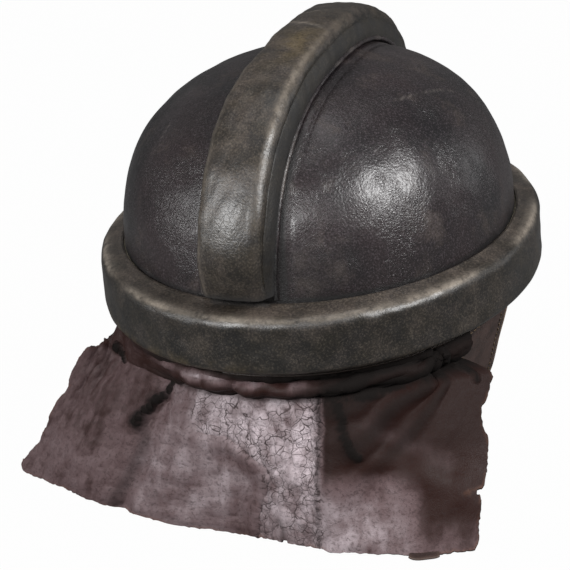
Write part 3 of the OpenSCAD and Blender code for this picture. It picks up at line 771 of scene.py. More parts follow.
def flat_mm(places):
    """Places [s, v] as millimetres on the flat leather."""
    return np.array(places, float) * (step_x, step_y)


def reach(s, q, line):
    """Distance in millimetres, on the flat leather, from a line through places [s, v]."""
    return line_distance(np.stack([s * step_x, np.where(q < 0, roll_y, step_y) * q], -1),
                         flat_mm(line))


def hanging(s, v):
    """Outer face of the guard below the roll: plan curves at its top and hem, mixed by height,
    pushed out by the long folds."""
    fold = (-6 * bell(s - 2.65 + 0.3 * (v - 0.5), 0.22) * (1 - 0.5 * v) + 3 * bell(s - 5.75, 0.16)
            + (2 + 4 * bell(s - 1.3, 0.7) - 2.5 * bell(s - 6.9 + v, 0.35))
            * np.sin(np.pi * np.clip(v, 0, 1)))
    plan = through(top_edge, s) * (1 - v)[..., None] + through(hem_edge, s) * v[..., None]
    near = np.clip(s, 0.05, spans - 0.05)
    ahead = sum((through(p, near + 0.05) - through(p, near - 0.05)) * w[..., None]
                for p, w in ((top_edge, 1 - v), (hem_edge, v)))
    normal = np.stack([ahead[..., 1], -ahead[..., 0]], -1)
    normal /= np.linalg.norm(normal, axis=-1, keepdims=True)
    plan = plan + normal * fold[..., None]
    high = fold_z - 7 * ((s - 4) / 4) ** 2 + 11 * np.clip(1 - s, 0, 1.3)
    return np.concatenate([plan, (high * (1 - v) + hem_z * v)[..., None]], -1)


def guard_skin(s, q):
    """Outer face at s along the guard and q down it: 0 to 1 is the hanging part, and -1 to 0 runs
    from the seam under the rim, round the crushed roll, to the fold below it."""
    a = through(rim_turn, s)[..., 0]
    crush = step(s, 2.3, 3.3) * (1 + 0.16 * ripple(s[..., None] * 36, 30, 41))
    top = hanging(s, np.zeros_like(s))
    under = hanging(s, np.full_like(s, 0.07))
    start = [beside(a, rim_half, -21, -4.3), beside(a, rim_half, -14, -4.2),
             beside(a, rim_half, -8.5, -4.9)]
    # How far in from the rim's edge, and how high, each row of the roll lies, and how much further
    # in and lower where the roll is tucked away on the right.
    rolled = [(6.2, -6.8), (4.2, -9.6), (6.2, -13.2), (10.4, -16.4), (13.6, -18.2)]
    apart = step(s, 3.8, 5.0) * (1 - step(s, 7.0, 7.7))
    sunk = [(4.5, 3.2), (2.4, 2.4), (0.8, 1.2), (0, 0.4), (0, 0)]
    lines = start[:]
    for k, (inset, z) in enumerate(rolled):
        plain = start[2] + (top - start[2]) * (k + 1) / 6
        tucked = beside(a, rim_half, -11 - (inset - 11) * np.clip(crush, 0.6, 1.25)
                        - sunk[k][0] * apart, z - sunk[k][1] * apart)
        lines.append(plain + (tucked - plain) * np.clip(crush, 0, 1)[..., None])
    lines += [top, under]
    upper = through(np.stack([p.reshape(-1, 3) for p in lines]),
                    (8 * np.clip(1 + q, 0, 1)).ravel()).reshape(*s.shape, 3)
    return np.where((q < 0)[..., None], upper, hanging(s, np.clip(q, 0, 1)))


def cut_sheet(s, q, outline, holes=()):
    """Cuts a grid of flat places along an outline. A square is kept if one of its corners is
    inside, and its corners that lie outside move to the nearest place on the line."""
    p = np.stack([s, q], -1).reshape(-1, 2)
    inside = np.ones(len(p), bool)
    nearest = np.zeros_like(p)
    far = np.full(len(p), 1e9)
    for number, line in enumerate([outline, *holes]):
        line = np.asarray(line, float)
        odd = np.zeros(len(p), bool)
        for a, b in zip(line, np.roll(line, -1, axis=0)):
            odd ^= ((a[1] > p[:, 1]) != (b[1] > p[:, 1])) & (
                p[:, 0] < (b[0] - a[0]) * (p[:, 1] - a[1]) / (b[1] - a[1] + 1e-12) + a[0])
            k = np.clip(((p - a) @ (b - a)) / max((b - a) @ (b - a), 1e-12), 0, 1)
            foot = a + k[:, None] * (b - a)
            d = np.linalg.norm(p - foot, axis=1)
            nearest[d < far] = foot[d < far]
            far = np.minimum(far, d)
        inside &= odd if number == 0 else ~odd
    quads = grid_quads(*s.shape)
    quads = quads[inside[quads].any(1)]
    p = np.where(inside[:, None], p, nearest)
    corner = p[quads]
    area = np.abs(np.cross(corner[:, 2] - corner[:, 0], corner[:, 3] - corner[:, 1]))
    return p, quads[area > 1e-4 * np.median(area)]


def ragged(line, seed, pitch=1.4, amount=0.35):
    """The outline with a point every pitch millimetres, each moved a little at random."""
    rng = np.random.default_rng(seed)
    line = np.array(line, float)
    out = []
    for a, b in zip(line, np.roll(line, -1, axis=0)):
        n = max(int(np.linalg.norm(b - a) / pitch), 1)
        k = np.arange(n)[:, None] / n
        out.append(a + (b - a) * k + rng.normal(size=(n, 2)) * amount * (k > 0))
    return np.concatenate(out)


left_edge = [(0.66, -0.36), (0.64, -0.30), (0.60, -0.134), (0.48, -0.08), (0.31, -0.06),
             (0.53, -0.064), (0.20, 0.0), (0.055, 0.0), (-0.06, 0.048), (-0.19, 0.12),
             (-0.19, 0.15), (-0.165, 0.20), (-0.04, 0.256), (0.04, 0.300), (0.10, 0.296),
             (0.045, 0.312), (0.04, 0.357), (-0.03, 0.43), (-0.03, 0.51), (0.03, 0.63),
             (0.01, 0.73), (-0.05, 0.82), (-0.14, 0.90), (-0.15, 0.955), (-0.05, 0.985),
             (0.13, 1.0), (0.36, 1.0), (0.745, 0.985)]
hem = [(1.17, 0.975), (1.83, 0.985), (2.32, 0.99), (2.66, 0.99), (2.9, 0.99), (3.3, 1.0),
       (3.85, 0.99), (4.3, 0.98), (4.7, 0.99), (4.93, 0.99), (4.99, 0.955), (5.03, 0.99),
       (5.5, 0.995), (6.0, 0.99), (6.6, 0.99), (6.84, 0.995), (7.37, 1.0), (7.73, 1.0),
       (7.95, 1.0)]
right_edge = [(8.01, 0.94), (7.98, 0.71), (7.96, 0.685), (7.85, 0.668), (7.67, 0.654),
              (7.85, 0.655), (7.99, 0.650), (8.03, 0.63), (8.07, 0.47), (8.05, 0.36), (7.96, 0.295),
              (7.91, 0.225), (7.90, 0.17), (7.98, 0.15), (8.04, 0.087), (8.10, -0.03),
              (8.30, -0.12), (8.42, -0.36)]
dent = [(1.0, -0.085), (1.2, -0.075), (1.40, -0.045), (1.52, -0.02)]
slit = [(7.50, -0.28), (7.62, -0.18), (7.74, -0.08), (7.82, 0.02)]
gash = [(2.98, -0.01), (2.83, 0.01), (2.76, 0.045), (2.71, 0.084), (2.63, 0.126), (2.53, 0.177),
        (2.5, 0.22), (2.41, 0.29), (2.40, 0.33)]
valley = [(2.40, 0.33), (2.62, 0.44), (2.58, 0.575), (2.53, 0.72), (2.41, 0.89), (2.36, 1.0)]
crease = [(2.66, 0.36), (2.63, 0.55), (2.65, 0.81), (2.82, 0.93)]
ridge_crack = [(5.56, 0.01), (5.60, 0.205), (5.57, 0.36), (5.57, 0.575), (5.56, 0.98)]
side_crack = [(5.81, 0.03), (5.88, 0.126), (5.90, 0.23), (6.02, 0.33), (6.13, 0.37)]
pale_side = [(3.30, 0.0), (3.37, 0.08), (3.5, 0.30), (3.97, 0.295), (4.33, 0.385), (4.67, 0.48),
             (4.70, 0.62), (4.56, 0.79), (4.46, 1.0)]
corner_fold = [(-0.05, 0.70), (0.08, 0.79), (0.32, 0.87), (0.60, 1.0)]
right_valley = [(5.95, 0.26), (6.56, 0.415), (7.12, 0.52), (7.96, 0.71)]
right_ridge = [(6.3, 0.20), (6.68, 0.295), (7.44, 0.52)]
hem_line = [(3.35, 0.957), (4.14, 0.93), (4.66, 0.925)]
hem_crack = [(4.96, 0.98), (4.99, 0.90), (4.93, 0.83)]

s = np.linspace(-0.24, 8.46, 296)[None]
q = np.concatenate([np.linspace(-1, 0, 46)[:-1], np.linspace(0, 1, 102)])[:, None]
s, q = np.broadcast_arrays(s, q)
outline = ragged(flat_mm(left_edge + hem + right_edge), 7)
outline[:, 1] = np.clip(outline[:, 1], -roll_y - 1, step_y)
flat, quads = cut_sheet(s * step_x, np.where(q < 0, roll_y, step_y) * q, outline)
s = flat[:, 0] / step_x
q = flat[:, 1] / np.where(flat[:, 1] < 0, roll_y, step_y)
v = np.clip(q, 0, 1)
skin = guard_skin(s, q)

on_flat = np.stack([flat[:, 0], flat[:, 1], 0 * s], -1)
wander = 2.2 * ripple(on_flat, 14, 51)
fray = 0.9 * ripple(on_flat, 3.2, 50) + 0.8 * ripple(on_flat, 1.9, 49)
gash_d = np.maximum(reach(s + wander / 3 / step_x, q, gash) + 0.7 * fray + 0.2, 0)
pale_d = reach(s, q, pale_side)
pale_edge = np.interp(v, [p[1] for p in pale_side], [p[0] for p in pale_side])
pale_edge = pale_edge + (0.6 * wander + 1.6 * ripple(on_flat, 7, 57)) / step_x
pale = (step(s, pale_edge - 0.16, pale_edge + 0.12) * (1 - step(s, 5.50, 5.64))
        * step(q, -0.02, 0.03))
crack_d = np.maximum(reach(s + wander / 3 / step_x, q, ridge_crack) + fray, 0)
side_d = np.maximum(reach(s + wander / 3 / step_x, q, side_crack) + 0.5 * fray, 0)
dent_d = np.maximum(reach(s, q, dent) + fray, 0)
slit_d = np.maximum(reach(s, q, slit) + 0.5 * fray, 0)
corner_d = reach(s, q, corner_fold)
in_corner = step(flat[:, 1] / step_y - np.interp(s, *zip(*corner_fold)), 0, 0.1)

# Folds fan out from the seam's right-hand end: a wave in the angle about that place.
fan = np.stack([7.95 * step_x - flat[:, 0], flat[:, 1] + 0.8 * roll_y], -1)
fan_r = np.linalg.norm(fan, axis=1)
fan_a = np.arctan2(fan[:, 1], fan[:, 0]) + 0.05 * ripple(on_flat, 30, 52)
folds = (np.sin(fan_a * 27 + 0.6) * step(fan_r, 6, 24) * (1 - step(fan_r, 60, 115))
         * step(fan_a, -0.1, 0.1) * (1 - step(fan_a, 0.75, 1.05)))
rolled_part = step(-q, 0, 0.1) * step(s, 2.0, 3.0)
left_part = 1 - step(s, 2.3, 2.9)
right_part = step(s, 5.50, 5.75)
middle = (1 - left_part) * (1 - right_part)
calm = 1 - 0.7 * right_part * step(q, -0.05, 0.05)
beside_valley = [(x + 0.16, y) for x, y in valley]
push = (-2.0 * bell(gash_d, 1.0) * (q > -0.3) - 2.0 * bell(gash_d, 6)
        - 1.6 * bell(pale_d - 2.5, 3.5) * (s < pale_edge) * step(v, 0.25, 0.4)
        + sum(height * bell(reach(s, q, line), wide) for line, height, wide in (
            (valley, -2.4, 6), (crease, -1.5, 4), (beside_valley, 1.2, 4), (right_valley, -2.6, 9),
            (right_ridge, 1.8, 9), (hem_line, -0.4, 0.8), (hem_crack, -1.0, 1.0)))
        - 0.6 * bell(crack_d, 0.9) + 0.5 * bell(crack_d - 3, 3)
        - 1.3 * bell(side_d, 1.2) - 0.8 * bell(side_d, 4) - 2.2 * bell(dent_d, 1.6)
        - 1.6 * bell(slit_d, 1.2)
        - 2.2 * step(s, 5.66, 5.95) * bell(s - 6.0, 0.4) * step(v, 0, 0.1)
        + 0.5 * bell(pale_d, 1.6) + 0.7 * bell(corner_d, 4) - 0.8 * in_corner
        + 3.0 * bell(s + 0.12, 0.22) * bell(v - 0.14, 0.09)
        + 1.3 * folds
        + 1.1 * ripple(on_flat * (1, 0.6, 1), 30, 53) + 0.7 * calm * ripple(on_flat, 12, 54)
        + 0.22 * calm * ripple(on_flat, 5.5, 58)
        + 0.4 * calm * (0.3 + pale) * ripple(on_flat * (1, 0.7, 1), 6.5, 55)
        + 0.5 * rolled_part * ripple(on_flat * (0.3, 1.7, 1), 12, 56)
        + 0.5 * rolled_part * ripple(on_flat * (0.3, 2.0, 1), 5, 59))
skin = swollen(skin, [quads], push * (0.35 + 0.65 * step(-v, -1.0, -0.93)))
skin[:, 2] = np.maximum(skin[:, 2], floor_z + 0.1)


def brown_leather():
    """Brown leather with a violet cast: darker and redder where the mark called light is low, and
    pale and dusty where it is high, a mark that holds both the leather's own tone and painted light
    and shade; cracked in plates where crackle is high, with painted shade in its folds, and red at
    its raw edges."""
    f = Finish(bpy.data.materials.new("brown_leather"))
    at = f.place("flat")
    light = f.mark("light")
    crackle = f.mark("crackle")
    torn = f.cells(f.warped(at, 9, 4), 5.0)
    torn = ((1 - f.ramp(torn, 0.0, 0.045))
            * f.ramp(crackle + 0.9 * f.noise(at, 12, 3), 0.98, 1.25))
    long = f.vein(f.noise(f.warped(at, 9, 3), 18, 3, 0.5), 0.010) * f.ramp(crackle, 0.25, 0.6)
    short = 1 - f.ramp(f.cells(f.warped(at, 5, 1.5), 2.6), 0.0, 0.08)
    short = short * f.ramp(crackle * 0.6 + f.noise(at, 8, 4, 0.6), 0.86, 1.02)
    cloud = f.noise(f.warped(at, 25, 14), 17, 5, 0.62)
    patch = f.noise(f.warped(at, 8, 5), 6, 4, 0.6)
    grain = f.noise(f.warped(at, 2, 1), 1.1, 4, 0.65)
    pores = f.cells(f.warped(at, 2, 1.4), 1.3)
    slanted = f.node("Mapping", {"vector_type": "POINT"},
                     {"Vector": at, "Rotation": (0, 0, -0.45), "Scale": (1.5, 0.35, 1)})
    streak = f.noise(slanted, 6, 4)
    uneven = 2.4 * (cloud - 0.5) + 1.2 * (streak - 0.5) + 0.9 * (patch - 0.5)
    level = light * (1.0 + uneven) + 0.05 * (patch - 0.5)
    cracks = f.ramp(torn * 0.85 + long * 0.8 + short * 0.5, 0, 1)
    colour = f.blend(f.ramp(level, 0.0, 0.16), tone(30, 12, 8), tone(80, 65, 66))
    colour = f.coated(
        colour, (f.ramp(level, 0.10, 0.85), 172, 161, 165),
        (f.ramp(grain, 0.48, 0.68) * 0.5, 34, 23, 22),
        (f.mark("raw") * f.ramp(patch, 0.4, 0.7) * 0.5, 92, 62, 46),
        (cracks * 0.9, 46, 36, 36), (f.mark("deep"), 8, 5, 4))
    rough = 0.48 + 0.14 * cloud + 0.08 * light + 0.35 * f.mark("deep")
    height = (0.10 * grain - 0.20 * torn - 0.20 * long - 0.10 * short + 0.30 * patch
              + 0.25 * cloud - 0.05 * (1 - f.ramp(pores, 0.0, 0.25)))
    return f.surface(colour, rough, height, specular=0.14)


brown = brown_leather()
points, faces, source = thick(skin, [quads], 2.1)
points[:, 2] = np.maximum(points[:, 2], floor_z + 0.1)
edge_d = line_distance(flat, outline, closed=True)
# Painted shade: near-black in the gash, the dent and the slit; dark in the cracks, the valleys and
# the fan folds' hollows, in the crease below the roll, on the roll's underside and its top under
# the rim, along the roll's right-hand part, and high on the guard's right-hand part.
shadow_below_roll = bell(reach(s, q, [(2.9, 0.0), (6.3, 0.0), (6.8, -0.03), (7.3, -0.06)]) + fray, 2.2)
deep = np.clip(0.9 * bell(gash_d, 1.0) * (q > -0.3) + 0.6 * bell(gash_d, 3.5)
               + 0.65 * rolled_part * step(q, -0.46, -0.2) * (1 - step(q, 0.0, 0.03))
               + 0.5 * rolled_part * step(-q, 0.62, 0.70) + 0.5 * rolled_part * step(s, 4.8, 5.8)
               + 0.25 * right_part * (1 - step(v, 0.3, 0.5))
               + 0.45 * bell(reach(s, q, valley), 4) + 0.5 * bell(crack_d, 0.7)
               + 0.8 * bell(side_d, 1.0) + 0.25 * bell(side_d, 4) + 0.6 * shadow_below_roll
               + 1.0 * bell(dent_d, 1.3) + 0.9 * bell(slit_d, 0.9)
               + 0.6 * bell(reach(s, q, hem_crack), 0.8) + 0.45 * np.clip(-folds, 0, 1)
               + 0.5 * step(-q, 0.5, 0.8), 0, 0.97)
# The light mark holds the leather's own tone, bleached pale in the middle panel, together with
# painted light and shade: darker beside the pale panel's left edge and on the upper right-hand
# part, lighter low on the right and on its ridge, and darker in its valley. The roll is painted
# dark in the rim's shadow, except for its rubbed ridge, which also carries a painted highlight.
left_light = 0.085 + 0.07 * step(v, 0.1, 0.9)
middle_light = (0.32 + 0.18 * pale * (1 - 0.6 * step(v, 0.45, 0.7)) - 0.08 * step(v, 0.8, 1)
                - 0.14 * bell(pale_d - 6, 9) * (s < pale_edge) * step(v, 0.3, 0.5))
right_light = (0.34 * step(v, 0.40, 0.75) * (1 - step(s, 6.5, 7.2)) + 0.09 * step(v, 0.72, 0.95)
               + 0.05 * bell(reach(s, q, right_ridge), 8)
               - 0.03 * bell(reach(s, q, right_valley), 8))
light = left_part * left_light + middle * middle_light + right_part * right_light
on_roll = step(-q, 0, 0.12)
rubbed = (bell(q + 0.56 + 0.03 * ripple(on_flat, 20, 63), 0.07) * bell(s - 4.0, 1.1)
          * step(ripple(on_flat * (0.5, 1, 1), 9, 62), -0.7, 0.5))
light = 0.93 * light * (1 - on_roll) + on_roll * (0.03 * (1 - right_part) + 0.42 * rubbed)
crackle = np.clip(0.62 * pale + 0.6 * bell(crack_d, 8) + 0.35 * bell(pale_d, 6)
                  + 0.10 * middle * step(q, 0, 0.1) + 0.35 * rolled_part * (1 - right_part), 0, 1)
guard_leather = make_piece("neck_guard_leather", points, faces, brown, {
    "flat": on_flat[source] / 1000, "light": light[source], "deep": deep[source],
    "crackle": crackle[source],
    "raw": (bell(edge_d, 1.0) * step(q, -0.2, 0))[source]}, sharp=55)
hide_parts("neck_guard_roll", "neck_guard")
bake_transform(guard_leather)


# The strap end. A narrow strap of the same leather is sewn inside the guard on the right, and
# its worn end sticks out under the hem.

guard_t = 2.2


def soft_leather(name, dark, light, rough=0.55):
    """Plain leather of the straps, flaps and liner: cloudy, grained and rubbed at its edges, and
    darkened as painted shade in its recesses.
    """
    f = Finish(bpy.data.materials.new(name))
    at = f.place()
    cloud = f.noise(f.warped(at, 18, 8), 13, 5, 0.6)
    grain = f.cells(at, 1.2, "F1")
    line = 1 - f.ramp(f.cells(f.warped(at, 6, 3), 4.5), 0.0, 0.08)
    line = line * f.ramp(f.noise(at, 15, 3), 0.5, 0.65)
    colour = f.blend(f.ramp(cloud, 0.36, 0.64), dark, light)
    colour = f.coated(
        colour, (f.mark("worn") * f.ramp(f.noise(at, 3, 4), 0.3, 0.6) * 0.7, 152, 128, 108),
        (line * 0.5, 34, 24, 20), (f.mark("deep"), 22, 16, 14))
    height = 0.10 * (1 - grain) - 0.15 * line + 0.3 * f.noise(at, 5, 3)
    return f.surface(colour, rough + 0.1 * cloud, height, specular=0.34)


strap_brown = soft_leather("strap_leather", tone(42, 30, 27), tone(62, 47, 43))
tab_at, tab_half, tab_out = 7.08, 0.23, 8.0
tab_bend = 0.72  # share of the strap's length that hangs
k, e = np.broadcast_arrays(np.linspace(0, 1, 60)[:, None], np.linspace(-1, 1, 22)[None])
place, low = tab_at + tab_half * e, np.ones(k.shape)
ahead = hanging(place + 0.05, low) - hanging(place - 0.05, low)
out = np.stack([ahead[..., 1], -ahead[..., 0], 0 * k], -1)
out /= np.linalg.norm(out, axis=-1, keepdims=True)
down = np.clip(k / tab_bend, 0, 1)
hung = hanging(place, 0.5 + 0.485 * down) - out * (guard_t + 0.4 + 0.6 * down)[..., None]
lap = np.clip((k - tab_bend) / (1 - tab_bend), 0, 1)
beyond = lap * (guard_t + tab_out * (1 - e ** 4 / 4) + 0.4) - (guard_t + 1.0)
lying = hanging(place, low) + out * beyond[..., None]
lying[..., 2] = floor_z + 1.5 + 0.25 * np.sin(np.pi * e) * lap
grid = np.where((k < tab_bend)[..., None], hung, lying)
# The strap end is darkened all over by painted shade, as it lies under the hem.
strap_tab = leather("nape_strap_end", grid, 1.2, strap_brown,
                    ("neck_guard", "brown_leather", "nape_strap"),
                    worn=0.12 * (bell(np.abs(e) - 1, 0.12) + bell(k - 1, 0.03)), deep=0.25)


# The ear flaps. Each is a plate of leather that hangs inwards from a rolled seam under the rim.
# A line of thread runs round it, and the chin strap's rivet goes through its foot.

hinge = np.array([106.0, 26.0, -5.35])
flap_t = 2.2
flap_l = 102.357
face_x = flap_t / 2 - 0.1
rivet_at = np.array([-34.0, 22 - flap_l])
rivet_hole = 2.08


def on_flap(p, side):
    """Places in the flap's own frame, its seam along Y and its plane at X = 0, put on the helmet:
    leaned by 23 degrees about Y, turned by 11 about Z, and mirrored for the wearer's right."""
    lean, yaw = np.radians(23), np.radians(11)
    x = p[..., 0] * np.cos(lean) + p[..., 2] * np.sin(lean)
    z = p[..., 2] * np.cos(lean) - p[..., 0] * np.sin(lean)
    y = p[..., 1]
    x, y = x * np.cos(yaw) - y * np.sin(yaw), x * np.sin(yaw) + y * np.cos(yaw)
    return (np.stack([x, y, z], -1) + hinge) * (side, 1, 1)


def curled(p, seed):
    """How far a flap's leather stands off its plane at places [y, z]: slow waves that die out
    towards its seam, its foot and its rivet."""
    return (0.9 * ripple(np.c_[p, 0 * p[:, 0]], 60, seed) * step(-p[:, 1], 5, 30)
            * step(np.linalg.norm(p - rivet_at, axis=1), 8, 22)
            * step(p[:, 1], -flap_l, -flap_l + 12))


def rounded(corners, radii, turns=7):
    """Outline of a flat piece: each corner is replaced by points of a curve of that reach."""
    corners = np.array(corners, float)
    out = []
    for k, r in enumerate(radii):
        b = corners[k]
        a, c = corners[k - 1] - b, corners[(k + 1) % len(corners)] - b
        a, c = b + a / np.linalg.norm(a) * r, b + c / np.linalg.norm(c) * r
        w = np.linspace(0, 1, turns)[:, None]
        out.append(a * (1 - w) ** 2 + 2 * b * w * (1 - w) + c * w ** 2)
    return np.concatenate(out)


def ring_of(middle, radius, count=20):
    """Outline of a round hole."""
    a = np.linspace(0, 2 * np.pi, count, endpoint=False)
    return np.stack([middle[0] + radius * np.cos(a), middle[1] + radius * np.sin(a)], -1)


def stitches(name, path, normal, material, pitch=4.2, length=3.0, radius=0.38):
    """Row of thread stitches along a path: each is a low spindle of four rings of five points,
    which dips into the leather at both ends."""
    gone = np.concatenate([[0], np.cumsum(np.linalg.norm(np.diff(path, axis=0), axis=1))])
    at = np.arange(pitch / 2, gone[-1] - length / 2, pitch)
    where, ahead, up = (np.stack([np.interp(there, gone, part) for part in line.T], -1)
                        for there, line in ((at, path), (at + 0.5, path), (at, normal)))
    ahead -= where
    ahead /= np.linalg.norm(ahead, axis=1, keepdims=True)
    up /= np.linalg.norm(up, axis=1, keepdims=True)
    side = np.cross(ahead, up)
    along = np.array([-0.5, -0.3, 0.3, 0.5])[:, None, None] * length
    size = np.array([0.35, 1.0, 1.0, 0.35])[:, None, None] * radius
    lift = np.array([-0.7, 0.45, 0.45, -0.7])[:, None, None] * radius
    a = np.linspace(0, 2 * np.pi, 5, endpoint=False)[:, None]
    where, ahead, up, side = (part[:, None, None] for part in (where, ahead, up, side))
    ring = (where + ahead * along + up * (lift + size * np.sin(a)) + side * size * np.cos(a))
    fans = np.array([[0, 1, 2], [0, 2, 3], [0, 3, 4]])
    caps = np.concatenate([fans[:, ::-1], fans + 15])
    first = 20 * np.arange(len(at))[:, None, None]
    faces = [(part[None] + first).reshape(-1, part.shape[1])[:, ::-1]
             for part in (grid_quads(4, 5, False, True), caps)]
    return make_piece(name, ring.reshape(-1, 3), faces, material)


def thread():
    """Waxed linen thread, browned by age."""
    f = Finish(bpy.data.materials.new("thread"))
    at = f.place()
    colour = f.blend(f.noise(at, 4, 3), tone(58, 46, 36), tone(104, 88, 68))
    return f.surface(colour, 0.7, 0.1 * f.noise(at, 0.8, 2), specular=0.2)


linen = thread()
flap_corners = [(-22, 2.2), (28, 2.2), (6, -flap_l), (-46, -flap_l)]
flap_outline = rounded(flap_corners, (2, 2, 10, 10))
y, z = np.meshgrid(np.linspace(-47, 29, 90), np.linspace(-flap_l - 0.5, 2.6, 120))
for side, name in ((1, "left"), (-1, "right")):
    flat, quads = cut_sheet(y, z, flap_outline, [ring_of(rivet_at, rivet_hole)])
    z_flat = flat[:, 1]
    tucked = np.c_[face_x + curled(flat, 60 + side), flat[:, 0], z_flat - 1.6 * step(z_flat, 0, 2)]
    points, faces, source = thick(on_flap(tucked, side), [quads[:, ::side]], 2.0)
    d = line_distance(flat, flap_outline, closed=True)
    # Painted shade darkens a line a little inside the flap's edge and the whole seam bead.
    flap = make_piece(f"ear_flap_leather_{name}", points, faces, strap_brown, {
        "worn": (0.9 * bell(d, 1.5) * step(-z_flat, 4, 10))[source],
        "deep": (0.4 * bell(d - 4, 0.8) * step(-z_flat, 4, 8))[source]})
    k = np.linspace(-20.5, 26.5, 40)
    seam = on_flap(np.stack([0 * k, k, 0.12 * ripple(np.c_[k, k, k], 9, 4)], -1), side)
    points, faces = capped(tube(seam, np.full(40, 1.5), 12))
    bead = make_piece(f"ear_flap_seam_{name}", points, faces, strap_brown,
                      {"worn": np.zeros(len(points)), "deep": np.full(len(points), 0.2)})
    inset = rounded([(-17, -6), (22.5, -6), (1.5, 5 - flap_l), (-40.5, 5 - flap_l)], (3, 3, 6, 6))
    loop = np.concatenate([inset, inset[:1]])
    dense = np.linspace(0, 1, 400)
    row = np.stack([np.interp(dense, np.linspace(0, 1, len(loop)), line) for line in loop.T], -1)
    on_face = on_flap(np.c_[face_x + curled(row, 60 + side), row], side)
    outwards = on_flap(np.array([[2.0, 0, 0]]), side) - on_flap(np.zeros((1, 3)), side)
    seam_thread = stitches(f"ear_flap_stitches_{name}", on_face, outwards.repeat(400, 0), linen)
    fit(flap, f"ear_flap_{name}", "brown_leather", f"ear_flap_{name}")
    for piece in (bead, seam_thread):
        fit(piece, f"ear_flap_{name}", "brown_leather")


def worn_steel():
    """Steel that has been nickelled, dulled and spotted with brown rust."""
    f = Finish(bpy.data.materials.new("worn_steel"))
    at = f.place()
    spot = f.ramp(f.noise(f.warped(at, 3, 2), 2.5, 5, 0.7), 0.50, 0.64)
    colour = f.blend(f.noise(at, 6, 3), tone(148, 142, 134), tone(176, 170, 160))
    colour = f.coated(colour, (spot * 0.8, 84, 62, 46))
    return f.surface(colour, 0.34 + 0.4 * spot, 0.05 * f.noise(at, 1.2, 3) + 0.06 * spot,
                     specular=0.5, Metallic=0.9)


steel = worn_steel()
for node in ("strap_rivet_left", "strap_rivet_right", "buckle_frame", "buckle_prong"):
    coat(node, steel)


# The chin straps. The right-hand one has five punched holes. The left-hand one is folded round
# the buckle's bar, with a slot for the prong, and a loop of leather slides on it as a keeper.

strap_w = 17
strap_t = 2.0
strap_x = -(flap_t / 2 + 0.3 + strap_t / 2)
chin_l = 96
hole_pitch = 13
buckle_l = 76
keeper_at = 56


def on_strap(p, side):
    """Places in the strap's own frame, its length along Y from the rivet, put on the flap: let
    droop by 4 degrees, and moved to the rivet."""
    a = np.radians(-4)
    y = p[..., 1] * np.cos(a) - p[..., 2] * np.sin(a)
    z = p[..., 1] * np.sin(a) + p[..., 2] * np.cos(a)
    return on_flap(np.stack([p[..., 0] + strap_x, y + rivet_at[0], z + rivet_at[1]], -1), side)


def strap_marks(flat, outline, source):
    """Rubbed edges and ends of a strap, and a dark line of painted shade a little inside them."""
    d = line_distance(flat, outline, closed=True)[source]
    return {"worn": 0.8 * bell(d, 0.9), "deep": 0.3 * bell(d - 2.6, 0.5)}


half = strap_w / 2
tip = [(chin_l - half + half * np.cos(a), half * np.sin(a))
       for a in np.radians(np.linspace(-90, 90, 19))]
chin_outline = np.array([(-9, half), (-9, -half)] + tip)[::-1]
y, z = np.meshgrid(np.linspace(-9.5, chin_l + 0.5, 190), np.linspace(-half - 0.4, half + 0.4, 40))
holes = [ring_of((0, 0), rivet_hole),
         *(ring_of((chin_l - strap_w - hole_pitch * k, 0), 1.5, 16) for k in range(5))]
flat, quads = cut_sheet(y, z, chin_outline, holes)
lines = on_strap(np.c_[np.full(len(flat), strap_t / 2 - 0.05), flat], -1)
points, faces, source = thick(lines, [quads[:, ::-1]], 1.9)
chin = make_piece("chin_strap_leather", points, faces, strap_brown,
                  strap_marks(flat, chin_outline, source))
fit(chin, "chin_strap", "brown_leather", "chin_strap")

bar_r = 1.25 + 0.07
turn_r = bar_r + 1.5
line = np.stack([np.full(120, 0.9), np.linspace(-9, buckle_l - 4.5, 120)], -1)
bend = np.radians(np.linspace(152, -140, 36))
curve = np.stack([turn_r * np.sin(bend), buckle_l + turn_r * np.cos(bend)], -1)
line = np.concatenate([line[line[:, 1] < curve[0, 1] - 1.0], curve])
gone = np.concatenate([[0], np.cumsum(np.linalg.norm(np.diff(line, axis=0), axis=1))])
outline = np.array([(0, half), (0, -half), (gone[-1], -half), (gone[-1], half)])[::-1]
slot = rounded([(gone[-1] - 12.5, 2.4), (gone[-1] - 12.5, -2.4), (gone[-1] + 3, -2.4),
                (gone[-1] + 3, 2.4)], (2, 2, 0.1, 0.1))
m, z = np.meshgrid(np.linspace(-0.3, gone[-1] + 0.3, 200), np.linspace(-half - 0.3, half + 0.3, 36))
flat, quads = cut_sheet(m, z, outline, [slot, ring_of((9, 0), rivet_hole)])
x, y = (np.interp(flat[:, 0], gone, part) for part in line.T)
points, faces, source = thick(on_strap(np.stack([x, y, flat[:, 1]], -1), 1), [quads], 1.4)
buckle_leather = make_piece("buckle_strap_leather", points, faces, strap_brown,
                            strap_marks(flat, outline, source))
fit(buckle_leather, "buckle_strap", "brown_leather", "buckle_strap")

half_x, half_z = strap_t / 2 + 0.35 + 1.4, half + 0.35 + 1.4
a = np.linspace(0, 2 * np.pi, 96, endpoint=False)
blunt = 2 / 7
ring = np.stack([half_x * np.sign(np.cos(a)) * np.abs(np.cos(a)) ** blunt,
                 half_z * np.sign(np.sin(a)) * np.abs(np.sin(a)) ** blunt], -1)
y = keeper_at + np.linspace(-3.2, 4, 14)[:, None]
grid = np.stack(np.broadcast_arrays(ring[:, 0], y, ring[:, 1]), -1)
leather("strap_keeper_leather", on_strap(grid, 1), 1.3, strap_brown,
        ("strap_keeper", "brown_leather", "strap_keeper"), closed=True,
        worn=0.7 * bell(np.abs(y - keeper_at) - 4, 0.8), deep=0)


